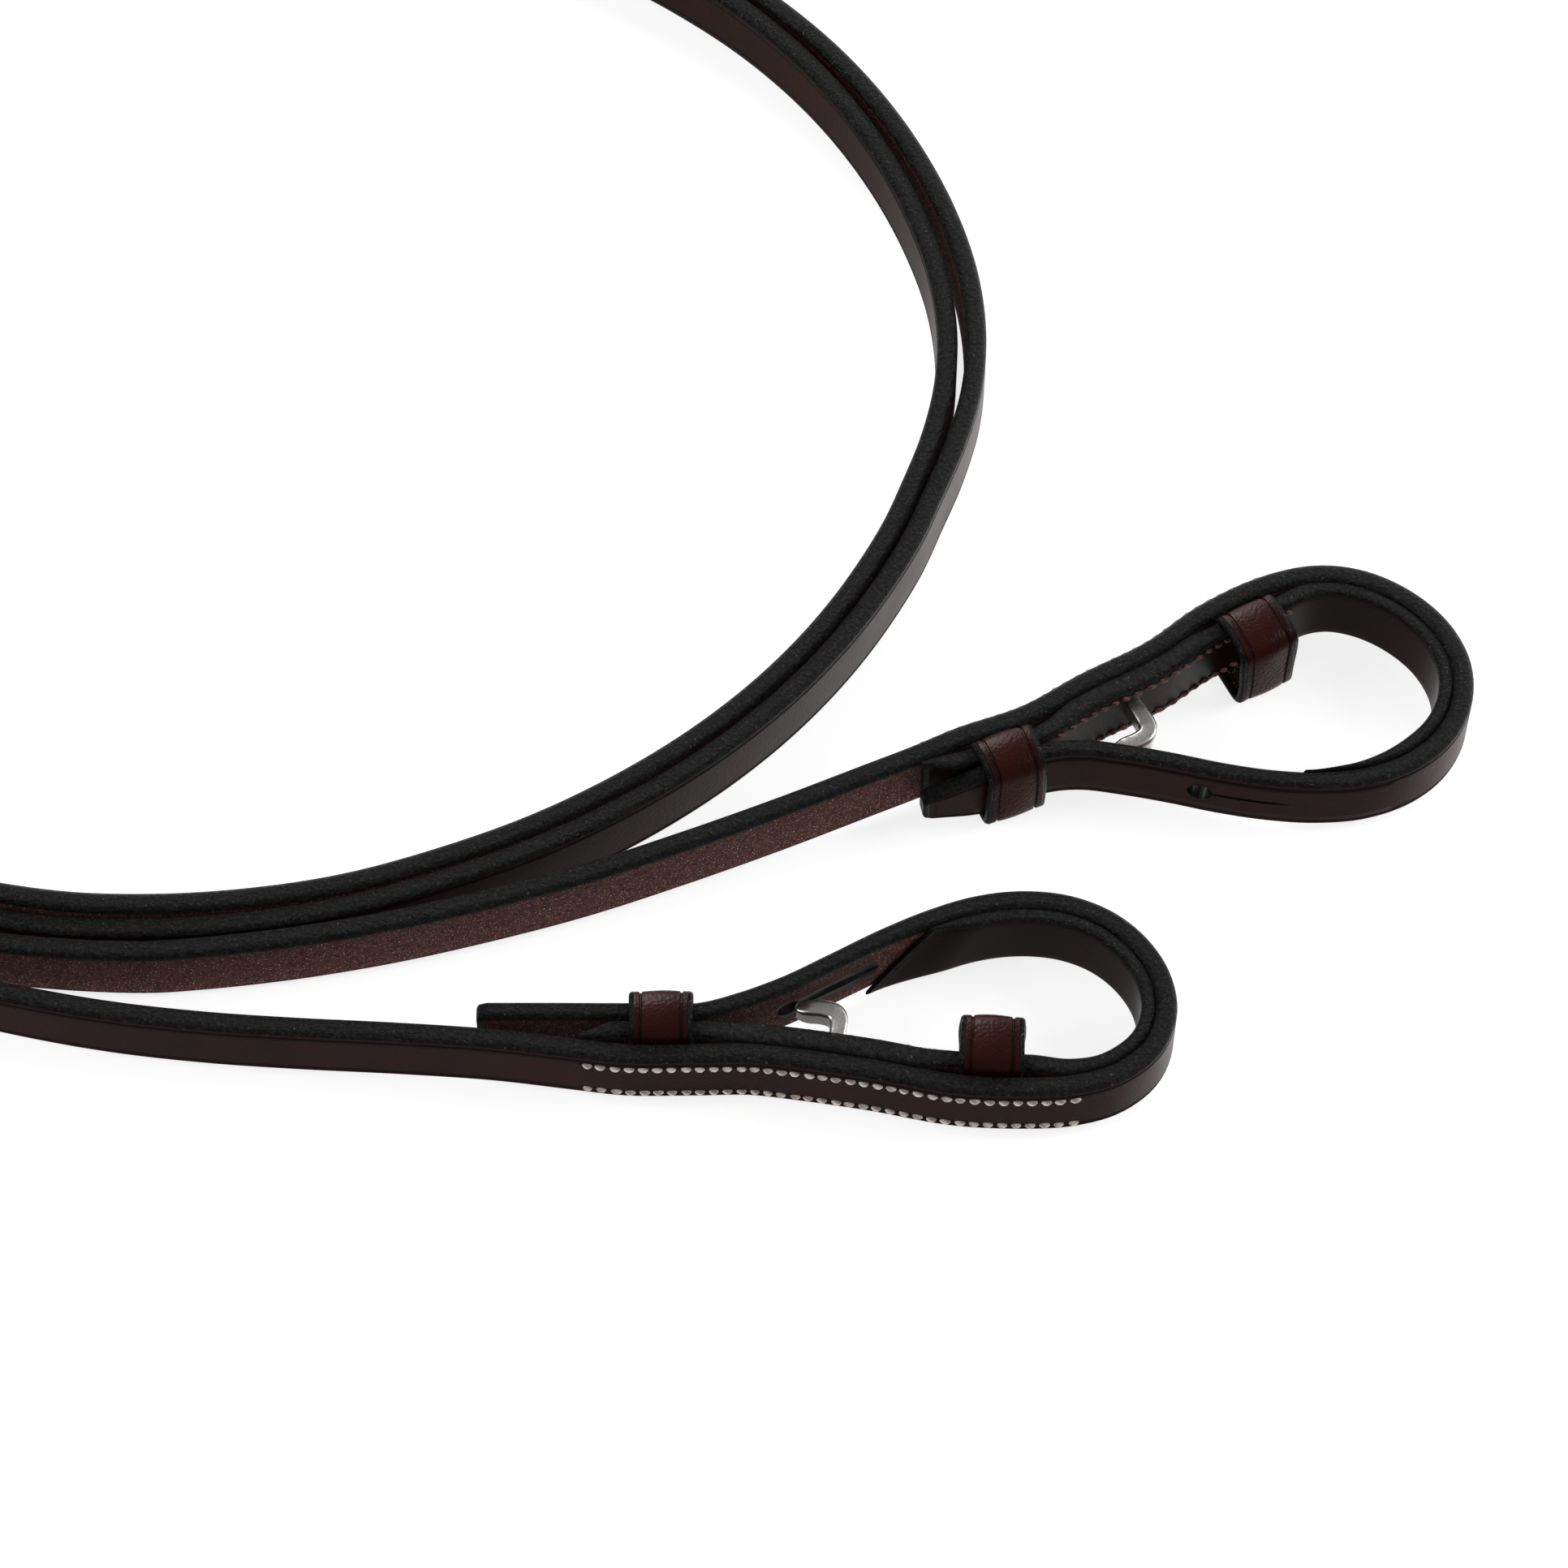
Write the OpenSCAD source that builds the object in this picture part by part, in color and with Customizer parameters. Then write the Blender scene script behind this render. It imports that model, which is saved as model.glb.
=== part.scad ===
// A pair of English hook-stud reins, laid on edge and coiled.
// Each rein is one strap: its bit end folds back through two keepers as a billet,
// and a stitched lining carries the hook stud that the billet buttons onto.
// At the hand end one rein has a buckle and the other a punched point.
// Units are millimetres, +Z is up, and the origin is under rein B's body keeper.

/* [Straps] */
// Width of both reins, which is their height as they stand on edge
strap_w = 16; // [13:0.5:19]
// Thickness of the rein straps
strap_t = 4.3; // [3.5:0.1:5.2]
// Thickness of the billet that folds back from the bit loop
billet_t = 3.6; // [3:0.1:4.4]
// Thickness of the lining inside each bit loop
lining_t = 2.4; // [2:0.1:3]
// How far the cut edges are rounded over
edge_round = 0.9; // [0.4:0.1:1.1]
// Free gap between straps that lie side by side
strand_gap = 0.55; // [0.3:0.05:1]

/* [Keepers] */
// Thickness of the leather the keepers are made of
keeper_t = 1.8; // [1.4:0.1:2.4]
// Length of a keeper along the rein
keeper_len = 12.5; // [9:0.5:15]
// Spare depth of the loop keeper over the body keeper
keeper_slack = 1.5; // [0:0.1:2.5]
// Radius of the keepers' outer corners
keeper_r = 2.4; // [2:0.1:3]

/* [Hook stud] */
// Height of the hook over the lining
hook_h = 7.2; // [6.5:0.1:9.6]
// Length of the hook from its post to its tip
hook_len = 10.5; // [8:0.5:12]
// Width of the hook across the strap
hook_w = 5; // [3.5:0.5:6]
// Thickness of the hook's metal
hook_t = 2.8; // [2:0.1:3.4]
// Thickness of the base plate sewn in under the lining
plate_t = 1.2; // [0.8:0.1:1.6]
// Length of the base plate
plate_len = 14; // [10:0.5:16]

/* [Stitching] */
// Distance from one stitch to the next
stitch_pitch = 2.66; // [2:0.02:4]
// Diameter of the thread
thread_d = 0.9; // [0.6:0.05:1.2]
// Distance of each stitch row from the strap's edge
stitch_inset = 2.2; // [2:0.1:4]

/* [Hand end] */
// Diameter of the buckle's heel bar and the thickness of its frame
bar_d = 3; // [2.4:0.1:3.6]
// Length of the buckle's window along the rein
window_len = 13; // [10:0.5:16]
// Thickness of the chape that folds round the heel bar
chape_t = 1.6; // [1.2:0.1:2]
// Length of the chape's two leaves
chape_len = 34; // [28:1:42]
// Diameter of the holes punched in rein B's point
hole_d = 4; // [3:0.1:4.5]
// Distance from one punched hole to the next
hole_pitch = 22; // [18:1:26]

/* [Hidden] */
$fn = 48;

grain_brown = [0.20, 0.13, 0.13];
keeper_brown = [0.24, 0.11, 0.10];
steel = [0.75, 0.75, 0.74];
cream = [0.85, 0.80, 0.74];
rust = [0.36, 0.15, 0.11];

// Free room on each side of a piece that is sewn or threaded between two others
clr = 0.3;
// Height of the strap over the floor where a keeper wraps its lower edge
lift = keeper_t + clr;
keeper_h = strap_w + 2 * lift;
body_depth = 2 * keeper_t + lining_t + billet_t + 3 * clr;
loop_depth = body_depth + keeper_slack;
pitch = strap_t + strand_gap;

// Frames of the keepers and studs: [x, y, turn, side], where side is +1 when the
// outer strap lies to the left of +along and -1 when it lies to the right
body_a = [67.6, 57.1, 21, 1];
loop_a = [117.3, 85.7, 28, 1];
stud_a = [91.2, 75.1, 29, 1];
body_b = [0, 0, 0, -1];
loop_b = [63.2, -6, -3, -1];
stud_b = [32.8, -6.7, -9, -1];

// Offsets across a keeper or a stud, positive towards the outer strap
function strap_out(depth) = depth / 2 + clr + strap_t / 2;
function lining_out(depth) = depth / 2 - keeper_t - clr - lining_t / 2;
billet_out = lining_out(body_depth) - lining_t / 2 - clr - billet_t / 2;
strap_over_plate = plate_t / 2 + clr + strap_t / 2;

function along_dir(f) = [cos(f[2]), sin(f[2])];
function out_dir(f) = f[3] * [-sin(f[2]), cos(f[2])];
function place(f, along, out) = [f[0], f[1]] + along * along_dir(f) + out * out_dir(f);
// Half length of the straight stretch kept through each keeper and over each plate
reach = keeper_len / 2 + 0.6;
plate_reach = plate_len / 2 + 0.6;

// The coil: an ellipse that shrinks by two strands a turn, run clockwise from its near side
coil_c = [-101.5, 151.5];
coil_a = 165.3;
coil_b = 136.4;
coil_shrink = 2 * pitch + 0.4;
function coil_point(turned) =
    let (inset = coil_shrink * turned / 360, q = 270 - turned)
    coil_c + [(coil_a - inset) * cos(q), (coil_b - inset) * sin(q)];
coil_step = 8;
// Where the second turn passes the bit ends the coil is drawn in by hand
second_turn = [[20.1, 235.2], [30, 224.2], [38.6, 212.1], [45.8, 199.1], [51.5, 185.4],
               [55.3, 172], [56.9, 158.5], [56.2, 145.5], [53.4, 133], [49.3, 121.5], [44.5, 110],
               [34.5, 93], [23, 78.5], [9.5, 65.6], [-6, 54.2], [-24, 44], [-43, 36.1],
               [-62, 30.1], [-81, 26.7], [-100, 25.3], [-119, 26]];
// How much further than a strand's pitch rein B stands from rein A at each of its first points
spread = [0.4, 0.8, 1.1, 1.3, 1.4, 1.3, 1.1, 0.8, 0.3];
// Angles turned where the drawn-in stretch starts and ends, and where rein B's point starts
drawn_from = 224;
drawn_to = 378;
point_from = 458;

// Direction and left-hand normal of a route at one of its points
function unit(v) = v / norm(v);
function heading(r, i) =
    i == 0 ? unit(r[1] - r[0])
    : i == len(r) - 1 ? unit(r[i] - r[i - 1])
    : unit(unit(r[i + 1] - r[i]) + unit(r[i] - r[i - 1]));
function left_of(v) = [-v[1], v[0]];
// A route moved sideways at each point by that point's distance in d, positive to the left
function beside(r, d) = [for (i = [0 : len(r) - 1]) r[i] + d[i] * left_of(heading(r, i))];
function run_to(r, i) = i == 0 ? 0 : run_to(r, i - 1) + norm(r[i] - r[i - 1]);
function runs(r) = [for (i = [0 : len(r) - 1]) run_to(r, i)];
function ease(x) = let (c = max(0, min(1, x))) c * c * (3 - 2 * c);

// Rein A, from the tip of its billet round the bit loop and along to its buckle
head_a = [[50.5, 50.4], [56.5, 51.8],
          place(body_a, -reach, billet_out), place(body_a, reach, billet_out),
          [82, 59.2], [91, 58], [100, 56.2], [109.4, 54], [118.9, 52.4], [128.4, 51.8],
          [138, 52.8], [146.8, 56.3], [153.3, 62], [157, 69.5], [157.4, 78], [154, 86.3],
          [147.4, 93.2], [138.9, 97.7], [129.8, 98.9],
          place(loop_a, reach, strap_out(loop_depth)), place(loop_a, -reach, strap_out(loop_depth)),
          place(stud_a, plate_reach, strap_over_plate), place(stud_a, -plate_reach, strap_over_plate),
          place(body_a, reach, strap_out(body_depth)), place(body_a, -reach, strap_out(body_depth)),
          [49.5, 57.6], [41, 53.9], [22.5, 45.9], [3.5, 38.3], [-15.5, 31.4], [-34.3, 25.9],
          [-53.1, 21.3], [-71.9, 17.9], [-90.5, 15.7]];
// Inside the coil rein A turns in, then runs straight through its keepers and chape
turn_in = [[-165.5, 37.4], [-180.5, 45.5], [-193, 57], [-202, 71.5], [-207, 88]];
straight_end = 90;
end_turn = 99.8;
end_step = straight_end / 6;
end_dir = [cos(end_turn), sin(end_turn)];
route_a = concat(head_a, [for (q = [0 : coil_step : drawn_from]) coil_point(q)], second_turn,
                 [coil_point(drawn_to)], turn_in,
                 [for (k = [1 : 6]) turn_in[len(turn_in) - 1] + k * end_step * end_dir]);
end_a = route_a[len(route_a) - 1];
// Places in the route of the lining's first and last point
lining_from_a = 9;
lining_to_a = 25;

// Rein B, laid outside rein A all the way round the coil
head_b = [[-35.4, 1.4], [-21, 1.4],
          place(body_b, -reach, billet_out), place(body_b, reach, billet_out),
          [14.5, 3.4], [23.5, 7], [33, 12], [42.3, 17], [51.5, 21.2], [60.6, 24.2], [69.6, 25.3],
          [78.4, 24.3], [86, 21], [92, 15.5], [95.8, 8.5], [96.6, 1], [93.8, -6.2],
          [87.3, -11.6], [78.9, -14.2],
          place(loop_b, reach, strap_out(loop_depth)), place(loop_b, -reach, strap_out(loop_depth)),
          place(stud_b, plate_reach, strap_over_plate), place(stud_b, -plate_reach, strap_over_plate),
          [17, -7.6],
          place(body_b, reach, strap_out(body_depth)), place(body_b, -reach, strap_out(body_depth)),
          [-16, -6.6], [-32, -4.5], [-50, -3.1], [-69, -2], [-87, -0.6], [-104, 1.5],
          [-119, 4.3], [-134, 8], [-149, 13]];
coil_line = concat([for (q = [24 : coil_step : drawn_from]) coil_point(q)], second_turn,
                   [for (q = [drawn_to : coil_step : point_from]) coil_point(q)],
                   [coil_point(point_from + 3), coil_point(point_from + 5),
                    coil_point(point_from + 6)]);
spread_from = len([for (q = [24 : coil_step : drawn_from]) q]);
apart = [for (i = [0 : len(coil_line) - 1])
    let (k = i - spread_from)
    pitch + (k >= 0 && k < len(spread) ? spread[k] : 0)];
route_b = concat(head_b, beside(coil_line, apart));
lining_from_b = 7;
lining_to_b = 26;

// The strap comes down from its lift over this length once it has left the keepers
settle = 270;
keeper_run_a = run_to(route_a, 24);
keeper_run_b = run_to(route_b, 25);
buckle_w = strap_w + 2 * clr + 2 * bar_d;
buckle_lift = (buckle_w - strap_w) / 2;
// Length over which rein A climbs to the middle height of its buckle
rise = 210;
run_a = runs(route_a);
run_b = runs(route_b);
end_run_a = run_a[len(run_a) - 1];
end_run_b = run_b[len(run_b) - 1];
function lift_a(s) = lift * (1 - ease((s - keeper_run_a) / settle))
                     + buckle_lift * ease((s - end_run_a + straight_end + rise) / rise);
function lift_b(s) = lift * (1 - ease((s - keeper_run_b) / settle));
// The billet is skived down from the rein's thickness across the bit loop
billet_run = 60;
function thick_at(s) = billet_t + (strap_t - billet_t) * ease((s - billet_run) / 60);
// Rein A's billet ends narrow and rein B's hand end is cut to a point
function wide_a(s) = strap_w * (s < 1 ? 0.62 : 1);
function wide_b(s) =
    strap_w * (s < 1 ? 0.88 : 1 - 0.6 * pow(max(0, 1 - (end_run_b - s) / 15), 2));

// Cross-section of a strap on edge: [across, up] points, anticlockwise seen from the front
function strap_section(t, w, e) =
    [[t / 2 - e, 0], [t / 2, e], [t / 2, w - e], [t / 2 - e, w],
     [e - t / 2, w], [-t / 2, w - e], [-t / 2, e], [e - t / 2, 0]];

// Sweep of a strap section along a route: thickness, width and lift may change with the run
module swept_strap(route, thick, wide, lifts) {
    n = len(route);
    rings = [for (i = [0 : n - 1])
        let (h = heading(route, i),
             // a mitre keeps the strap's thickness where the route turns
             bend = i == 0 || i == n - 1 ? 1
                    : max(0.8, unit(route[i] - route[i - 1]) * h),
             side = left_of(h) / bend)
        [for (p = strap_section(thick[i], wide[i], min(edge_round, thick[i] / 3)))
            [route[i][0] + p[0] * side[0], route[i][1] + p[0] * side[1],
             lifts[i] + (strap_w - wide[i]) / 2 + p[1]]]];
    k = 8;
    pts = [for (r = rings) each r];
    faces = concat(
        [[for (j = [0 : k - 1]) j]],
        [for (i = [0 : n - 2], j = [0 : k - 1])
            each [[i * k + j, (i + 1) * k + j, i * k + (j + 1) % k],
                  [(i + 1) * k + j, (i + 1) * k + (j + 1) % k, i * k + (j + 1) % k]]],
        [[for (j = [k - 1 : -1 : 0]) (n - 1) * k + j]]);
    polyhedron(pts, faces);
}

// A point on a route at run s, with its direction: [x, y, turn]
function on_route(r, run, s) =
    let (i = len([for (q = run) if (q <= s) 1]) - 1,
         k = min(i, len(r) - 2),
         d = unit(r[k + 1] - r[k]),
         p = r[k] + d * (s - run[k]))
    [p[0], p[1], atan2(d[1], d[0])];

// Keyhole of the billet: a round hole with a slit towards the bit loop
keyhole_d = 4.6;
slit_w = 0.8;
module keyhole(route, run, s, slit, up) {
    at = on_route(route, run, s);
    translate([at[0], at[1], up])
        rotate([0, 0, at[2]])
            rotate([90, 0, 0])
                translate([0, 0, -strap_t])
                    cylinder(d = keyhole_d, h = 2 * strap_t);
    far = on_route(route, run, s + slit);
    mid = [(at[0] + far[0]) / 2, (at[1] + far[1]) / 2];
    translate([mid[0], mid[1], up])
        rotate([0, 0, atan2(far[1] - at[1], far[0] - at[0])])
            cube([slit, 2 * strap_t, slit_w], center = true);
}

// The two reins
hole_run_a = 57;
hole_run_b = 60;
slit_len = 18;
module rein_strap_a() {
    color(grain_brown)
    difference() {
        swept_strap(route_a, [for (s = run_a) thick_at(s)],
                    [for (s = run_a) wide_a(s)],
                    [for (s = run_a) lift_a(s)]);
        keyhole(route_a, run_a, hole_run_a, slit_len, lift + strap_w / 2);
    }
}
// Holes of rein B's point, counted back from its tip
hole_count = 5;
first_hole = 40;
module point_hole(s) {
    at = on_route(route_b, run_b, s);
    translate([at[0], at[1], strap_w / 2])
        rotate([0, 0, at[2]])
            rotate([90, 0, 0])
                translate([0, 0, -strap_t])
                    cylinder(d = hole_d, h = 2 * strap_t);
}
module rein_strap_b() {
    color(grain_brown)
    difference() {
        swept_strap(route_b, [for (s = run_b) thick_at(s)], [for (s = run_b) wide_b(s)],
                    [for (s = run_b) lift_b(s)]);
        keyhole(route_b, run_b, hole_run_b, slit_len, lift + strap_w / 2);
        for (k = [0 : hole_count - 1])
            point_hole(end_run_b - first_hole - k * hole_pitch);
    }
}

// Distance from the strap's middle to the lining's middle at each place along the loop
near_gap = strap_t / 2 + clr + lining_t / 2;
keeper_gap = near_gap + keeper_t + clr;
plate_gap = near_gap + plate_t + clr;
function lining_route(route, from, to, side, gaps) =
    [for (i = [from : to])
        route[i] + side * gaps[i - from] * left_of(heading(route, i))];
gaps_a = [for (i = [lining_from_a : lining_to_a])
    i >= 25 ? near_gap : i >= 23 ? keeper_gap : i >= 21 ? plate_gap : i >= 19 ? keeper_gap : near_gap];
gaps_b = [for (i = [lining_from_b : lining_to_b])
    i >= 26 ? near_gap : i >= 24 ? keeper_gap : i >= 21 ? plate_gap : i >= 19 ? keeper_gap : near_gap];
line_a = lining_route(route_a, lining_from_a, lining_to_a, 1, gaps_a);
line_b = lining_route(route_b, lining_from_b, lining_to_b, -1, gaps_b);
module chape_lining(line, stud) {
    n = len(line);
    skive = 0.45;
    color(grain_brown)
    difference() {
        swept_strap(line, [for (i = [0 : n - 1]) i == 0 || i == n - 1 ? lining_t * skive : lining_t],
                    [for (p = line) strap_w], [for (p = line) lift]);
        // slot that the hook's post comes through
        translate([stud[0], stud[1], lift + strap_w / 2])
            rotate([0, 0, stud[2]])
                translate([0, -stud[3] * (plate_t / 2 + clr + lining_t), 0])
                    cube([hook_t + 2 * clr, 3 * lining_t, hook_w + 2 * clr], center = true);
    }
}

// A keeper: a closed band round the lining and the billet
module keeper(f, depth) {
    r_in = max(0.5, keeper_r - keeper_t);
    color(keeper_brown)
    translate([f[0], f[1], 0])
        rotate([0, 0, f[2]])
            rotate([90, 0, 90])
                translate([-depth / 2, 0, -keeper_len / 2])
                    linear_extrude(keeper_len)
                        difference() {
                            rounded_plate(depth, keeper_h, keeper_r);
                            translate([keeper_t, keeper_t])
                                rounded_plate(depth - 2 * keeper_t, keeper_h - 2 * keeper_t, r_in);
                        }
}
// Rectangle with round corners, its lower left corner at the origin
module rounded_plate(w, h, r) {
    translate([r, 0])
        square([w - 2 * r, h]);
    translate([0, r])
        square([w, h - 2 * r]);
    for (x = [r, w - r], y = [r, h - r])
        translate([x, y])
            circle(r);
}

// Hook stud: base plate, post and hook, cast in one
module hook_stud(f) {
    top = plate_t / 2 + 2 * clr + lining_t + hook_h;
    plate_w = 9;
    bend_r = 3.4;
    color(steel)
    translate([f[0], f[1], lift + strap_w / 2])
        rotate([0, 0, f[2]])
            mirror([0, f[3] < 0 ? 1 : 0, 0]) {
                cube([plate_len, plate_t, plate_w], center = true);
                translate([0, 0, -hook_w / 2])
                    linear_extrude(hook_w)
                        union() {
                            // post
                            translate([-hook_t / 2, bend_r - top])
                                square([hook_t, top - bend_r]);
                            // arm, with a round tip
                            translate([hook_t / 2 - hook_len, -top])
                                square([hook_len - bend_r, hook_t]);
                            translate([hook_t / 2 - hook_len, hook_t / 2 - top])
                                circle(d = hook_t);
                            // bend
                            intersection() {
                                translate([hook_t / 2 - bend_r, bend_r - top])
                                    difference() {
                                        circle(bend_r);
                                        circle(bend_r - hook_t);
                                    }
                                translate([hook_t / 2 - bend_r, -top])
                                    square([bend_r, bend_r]);
                            }
                        }
            }
}

// Two rows of stitches on one face of a strap, each half sunk in the leather
module stitch_rows(route, run, from, to, off, base, tone) {
    long = stitch_pitch * 0.78;
    color(tone)
    for (s = [from : stitch_pitch : to], z = [stitch_inset, strap_w - stitch_inset]) {
        at = on_route(route, run, s);
        translate([at[0], at[1], base + z])
            rotate([0, 0, at[2]])
                translate([-long / 2, off, 0])
                    rotate([0, 90, 0])
                        cylinder(d = thread_d, h = long, $fn = 16);
    }
}
line_run_a = runs(line_a);
line_run_b = runs(line_b);
seam_from_a = run_to(route_a, 19) - 2;
seam_to_a = run_to(route_a, 24) + 9;
seam_from_b = run_to(route_b, 19) - 9;
seam_to_b = run_to(route_b, 25) + 8;
// The lining's rows stop short of the body keeper, where the billet lies against it
line_seam_from_a = line_run_a[10] - 2;
line_seam_to_a = line_run_a[14] - 3;
line_seam_from_b = line_run_b[12] - 3;
line_seam_to_b = line_run_b[17] - 3;

// Hand end of rein A: everything is placed from the end of the strap
chape_gap = strap_t / 2 + clr;
bar_bore = bar_d / 2 + clr;
bar_at = chape_gap + chape_t + bar_bore + 1;
module at_hand_end() {
    translate([end_a[0], end_a[1], 0])
        rotate([0, 0, end_turn])
            children();
}
// Chape: a strip folded round the heel bar, with its leaves on both faces of the strap
module buckle_chape() {
    slot_h = 5;
    fold_r = bar_bore + chape_t;
    leaf_out = chape_gap + chape_t;
    color(grain_brown)
    at_hand_end()
        difference() {
            translate([0, 0, buckle_lift])
                linear_extrude(strap_w)
                    difference() {
                        union() {
                            translate([bar_at, 0])
                                circle(fold_r);
                            polygon([[-chape_len, -leaf_out], [0, -leaf_out],
                                     [bar_at, -fold_r], [bar_at, fold_r],
                                     [0, leaf_out], [-chape_len, leaf_out]]);
                        }
                        translate([bar_at, 0])
                            circle(bar_bore);
                        translate([-chape_len - 1, -chape_gap])
                            square([chape_len + 1 + clr, 2 * chape_gap]);
                    }
            // slot that the tongue turns in
            translate([2 * clr, -2 * fold_r, buckle_lift + (strap_w - slot_h) / 2])
                cube([bar_at + 2 * fold_r, 4 * fold_r, slot_h]);
        }
}
// Buckle frame: two arms and a front bar in one flat piece, with a round heel bar
module buckle_frame() {
    front = bar_d;
    frame_len = window_len + front;
    color(steel)
    at_hand_end()
        translate([bar_at, 0, 0]) {
            cylinder(d = bar_d, h = buckle_w);
            translate([0, bar_d / 2, 0])
                rotate([90, 0, 0])
                    linear_extrude(bar_d)
                        difference() {
                            translate([0, 0])
                                rounded_end(frame_len, buckle_w, 4);
                            translate([-1, bar_d])
                                rounded_end(window_len + 1, buckle_w - 2 * bar_d, 1.5);
                        }
        }
}
// Rectangle from x = 0 with its two far corners round
module rounded_end(w, h, r) {
    square([w - r, h]);
    translate([0, r])
        square([w, h - 2 * r]);
    for (y = [r, h - r])
        translate([w - r, y])
            circle(r);
}
// Tongue: an eye round the heel bar and a prong that lies on the front bar
tongue_w = 3.4;
tongue_t = 2.2;
module buckle_tongue() {
    eye = bar_d / 2 + 0.15;
    prong = window_len + bar_d + 1.2;
    over = bar_d / 2 + clr;
    color(steel)
    at_hand_end()
        translate([bar_at, 0, buckle_lift + (strap_w - tongue_w) / 2])
            linear_extrude(tongue_w)
                difference() {
                    union() {
                        circle(eye + 1.4);
                        translate([0, over])
                            square([prong, tongue_t]);
                        translate([0, eye])
                            square([eye + 1.4, over + tongue_t - eye]);
                        translate([prong, over + tongue_t / 2])
                            circle(d = tongue_t);
                    }
                    circle(eye);
                }
}
// Bands on the hand end: they hold the other rein's point when it is buckled
band_in = chape_gap + chape_t + clr;
centre_from = -9;
centre_len = 7;
runner_from = -62;
runner_len = 10;
module hand_band(from, long, inner) {
    depth = inner + strap_t + clr + band_in + 2 * keeper_t;
    height = strap_w + 2 * clr + 2 * keeper_t;
    color(keeper_brown)
    at_hand_end()
        translate([from, 0, buckle_lift + strap_w / 2 - height / 2])
            rotate([90, 0, 90])
                translate([-inner - keeper_t, 0, 0])
                    linear_extrude(long)
                        difference() {
                            rounded_plate(depth, height, keeper_r);
                            translate([keeper_t, keeper_t])
                                rounded_plate(depth - 2 * keeper_t, height - 2 * keeper_t,
                                              max(0.5, keeper_r - keeper_t));
                        }
}
module chape_stitching() {
    long = stitch_pitch * 0.78;
    color(cream)
    at_hand_end()
        for (s = [-chape_len + 3 : stitch_pitch : -15], z = [stitch_inset, strap_w - stitch_inset],
             side = [-1, 1])
            translate([s, side * (chape_gap + chape_t), buckle_lift + z])
                rotate([0, 90, 0])
                    cylinder(d = thread_d, h = long, $fn = 16);
}

rein_strap_a();
chape_lining(line_a, stud_a);  // chape_lining_a
hook_stud(stud_a);  // hook_stud_a
keeper(body_a, body_depth);  // body_keeper_a
keeper(loop_a, loop_depth);  // loop_keeper_a
stitch_rows(route_a, run_a, seam_from_a, seam_to_a, -strap_t / 2, lift, cream);  // outer_stitching_a
stitch_rows(line_a, line_run_a, line_seam_from_a, line_seam_to_a, lining_t / 2, lift, rust);  // inner_stitching_a
rein_strap_b();
chape_lining(line_b, stud_b);  // chape_lining_b
hook_stud(stud_b);  // hook_stud_b
keeper(body_b, body_depth);  // body_keeper_b
keeper(loop_b, loop_depth);  // loop_keeper_b
stitch_rows(route_b, run_b, seam_from_b, seam_to_b, strap_t / 2, lift, cream);  // outer_stitching_b
stitch_rows(line_b, line_run_b, line_seam_from_b, line_seam_to_b, -lining_t / 2, lift, rust);  // inner_stitching_b
buckle_chape();
buckle_frame();
buckle_tongue();
hand_band(centre_from, centre_len, band_in);  // centre_keeper
hand_band(runner_from, runner_len, strap_t / 2 + clr);  // runner_keeper
chape_stitching();
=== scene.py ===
"""Looks of a pair of brown bridle reins with hook-stud billets, coiled on edge.

Every leather piece is cut flat as a strip, x along it, y through its thickness with the grain
side at +y, and z across its width. It is then laid along its line. The flat place of each point
is kept in the attribute "cut", so that the grain, creases and edge paint follow the leather.
Lengths are metres, and +Z is up.
"""
import math
import random

import bmesh
import bpy
import numpy as np
from mathutils import Matrix, Vector


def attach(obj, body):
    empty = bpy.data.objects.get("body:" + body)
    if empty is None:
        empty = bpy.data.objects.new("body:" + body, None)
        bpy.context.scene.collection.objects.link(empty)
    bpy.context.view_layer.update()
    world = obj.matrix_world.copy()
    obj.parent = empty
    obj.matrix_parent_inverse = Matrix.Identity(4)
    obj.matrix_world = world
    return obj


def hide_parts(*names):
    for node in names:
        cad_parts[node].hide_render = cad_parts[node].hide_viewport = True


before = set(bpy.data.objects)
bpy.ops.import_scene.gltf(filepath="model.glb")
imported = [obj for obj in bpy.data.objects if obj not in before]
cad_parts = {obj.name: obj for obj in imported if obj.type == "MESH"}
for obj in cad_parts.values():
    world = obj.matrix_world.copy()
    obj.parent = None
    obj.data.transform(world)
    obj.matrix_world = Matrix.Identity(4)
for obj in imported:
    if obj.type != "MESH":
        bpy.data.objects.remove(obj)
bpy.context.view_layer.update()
MM = 0.001

# ---------------------------------------------------------------- sizes, as in the part
STRAP_W = 16 * MM
STRAP_T = 4.3 * MM
BILLET_T = 3.6 * MM
LINING_T = 2.4 * MM
KEEPER_T = 1.8 * MM
KEEPER_LEN = 12.5 * MM
KEEPER_SLACK = 1.5 * MM
CLEAR = 0.3 * MM
PLATE_T = 1.2 * MM
LIFT = KEEPER_T + CLEAR
KEEPER_H = STRAP_W + 2 * LIFT
BODY_DEPTH = 2 * KEEPER_T + LINING_T + BILLET_T + 3 * CLEAR
LOOP_DEPTH = BODY_DEPTH + KEEPER_SLACK
PITCH = STRAP_T + 0.55 * MM
STITCH_PITCH = 2.66 * MM
STITCH_INSET = 2.2 * MM
# rein B's outer rows sit further in than the others
OUTER_INSET_B = 3.1 * MM
BAR_D = 3 * MM
WINDOW = 13 * MM
CHAPE_T = 1.6 * MM
CHAPE_LEN = 34 * MM

# frames of the keepers and studs: x, y, turn in degrees, side of the outer strap
BODY_A = (67.6, 57.1, 21, 1)
LOOP_A = (117.3, 85.7, 28, 1)
STUD_A = (91.2, 75.1, 29, 1)
BODY_B = (0, 0, 0, -1)
LOOP_B = (63.2, -6, -3, -1)
STUD_B = (32.8, -6.7, -9, -1)


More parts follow.
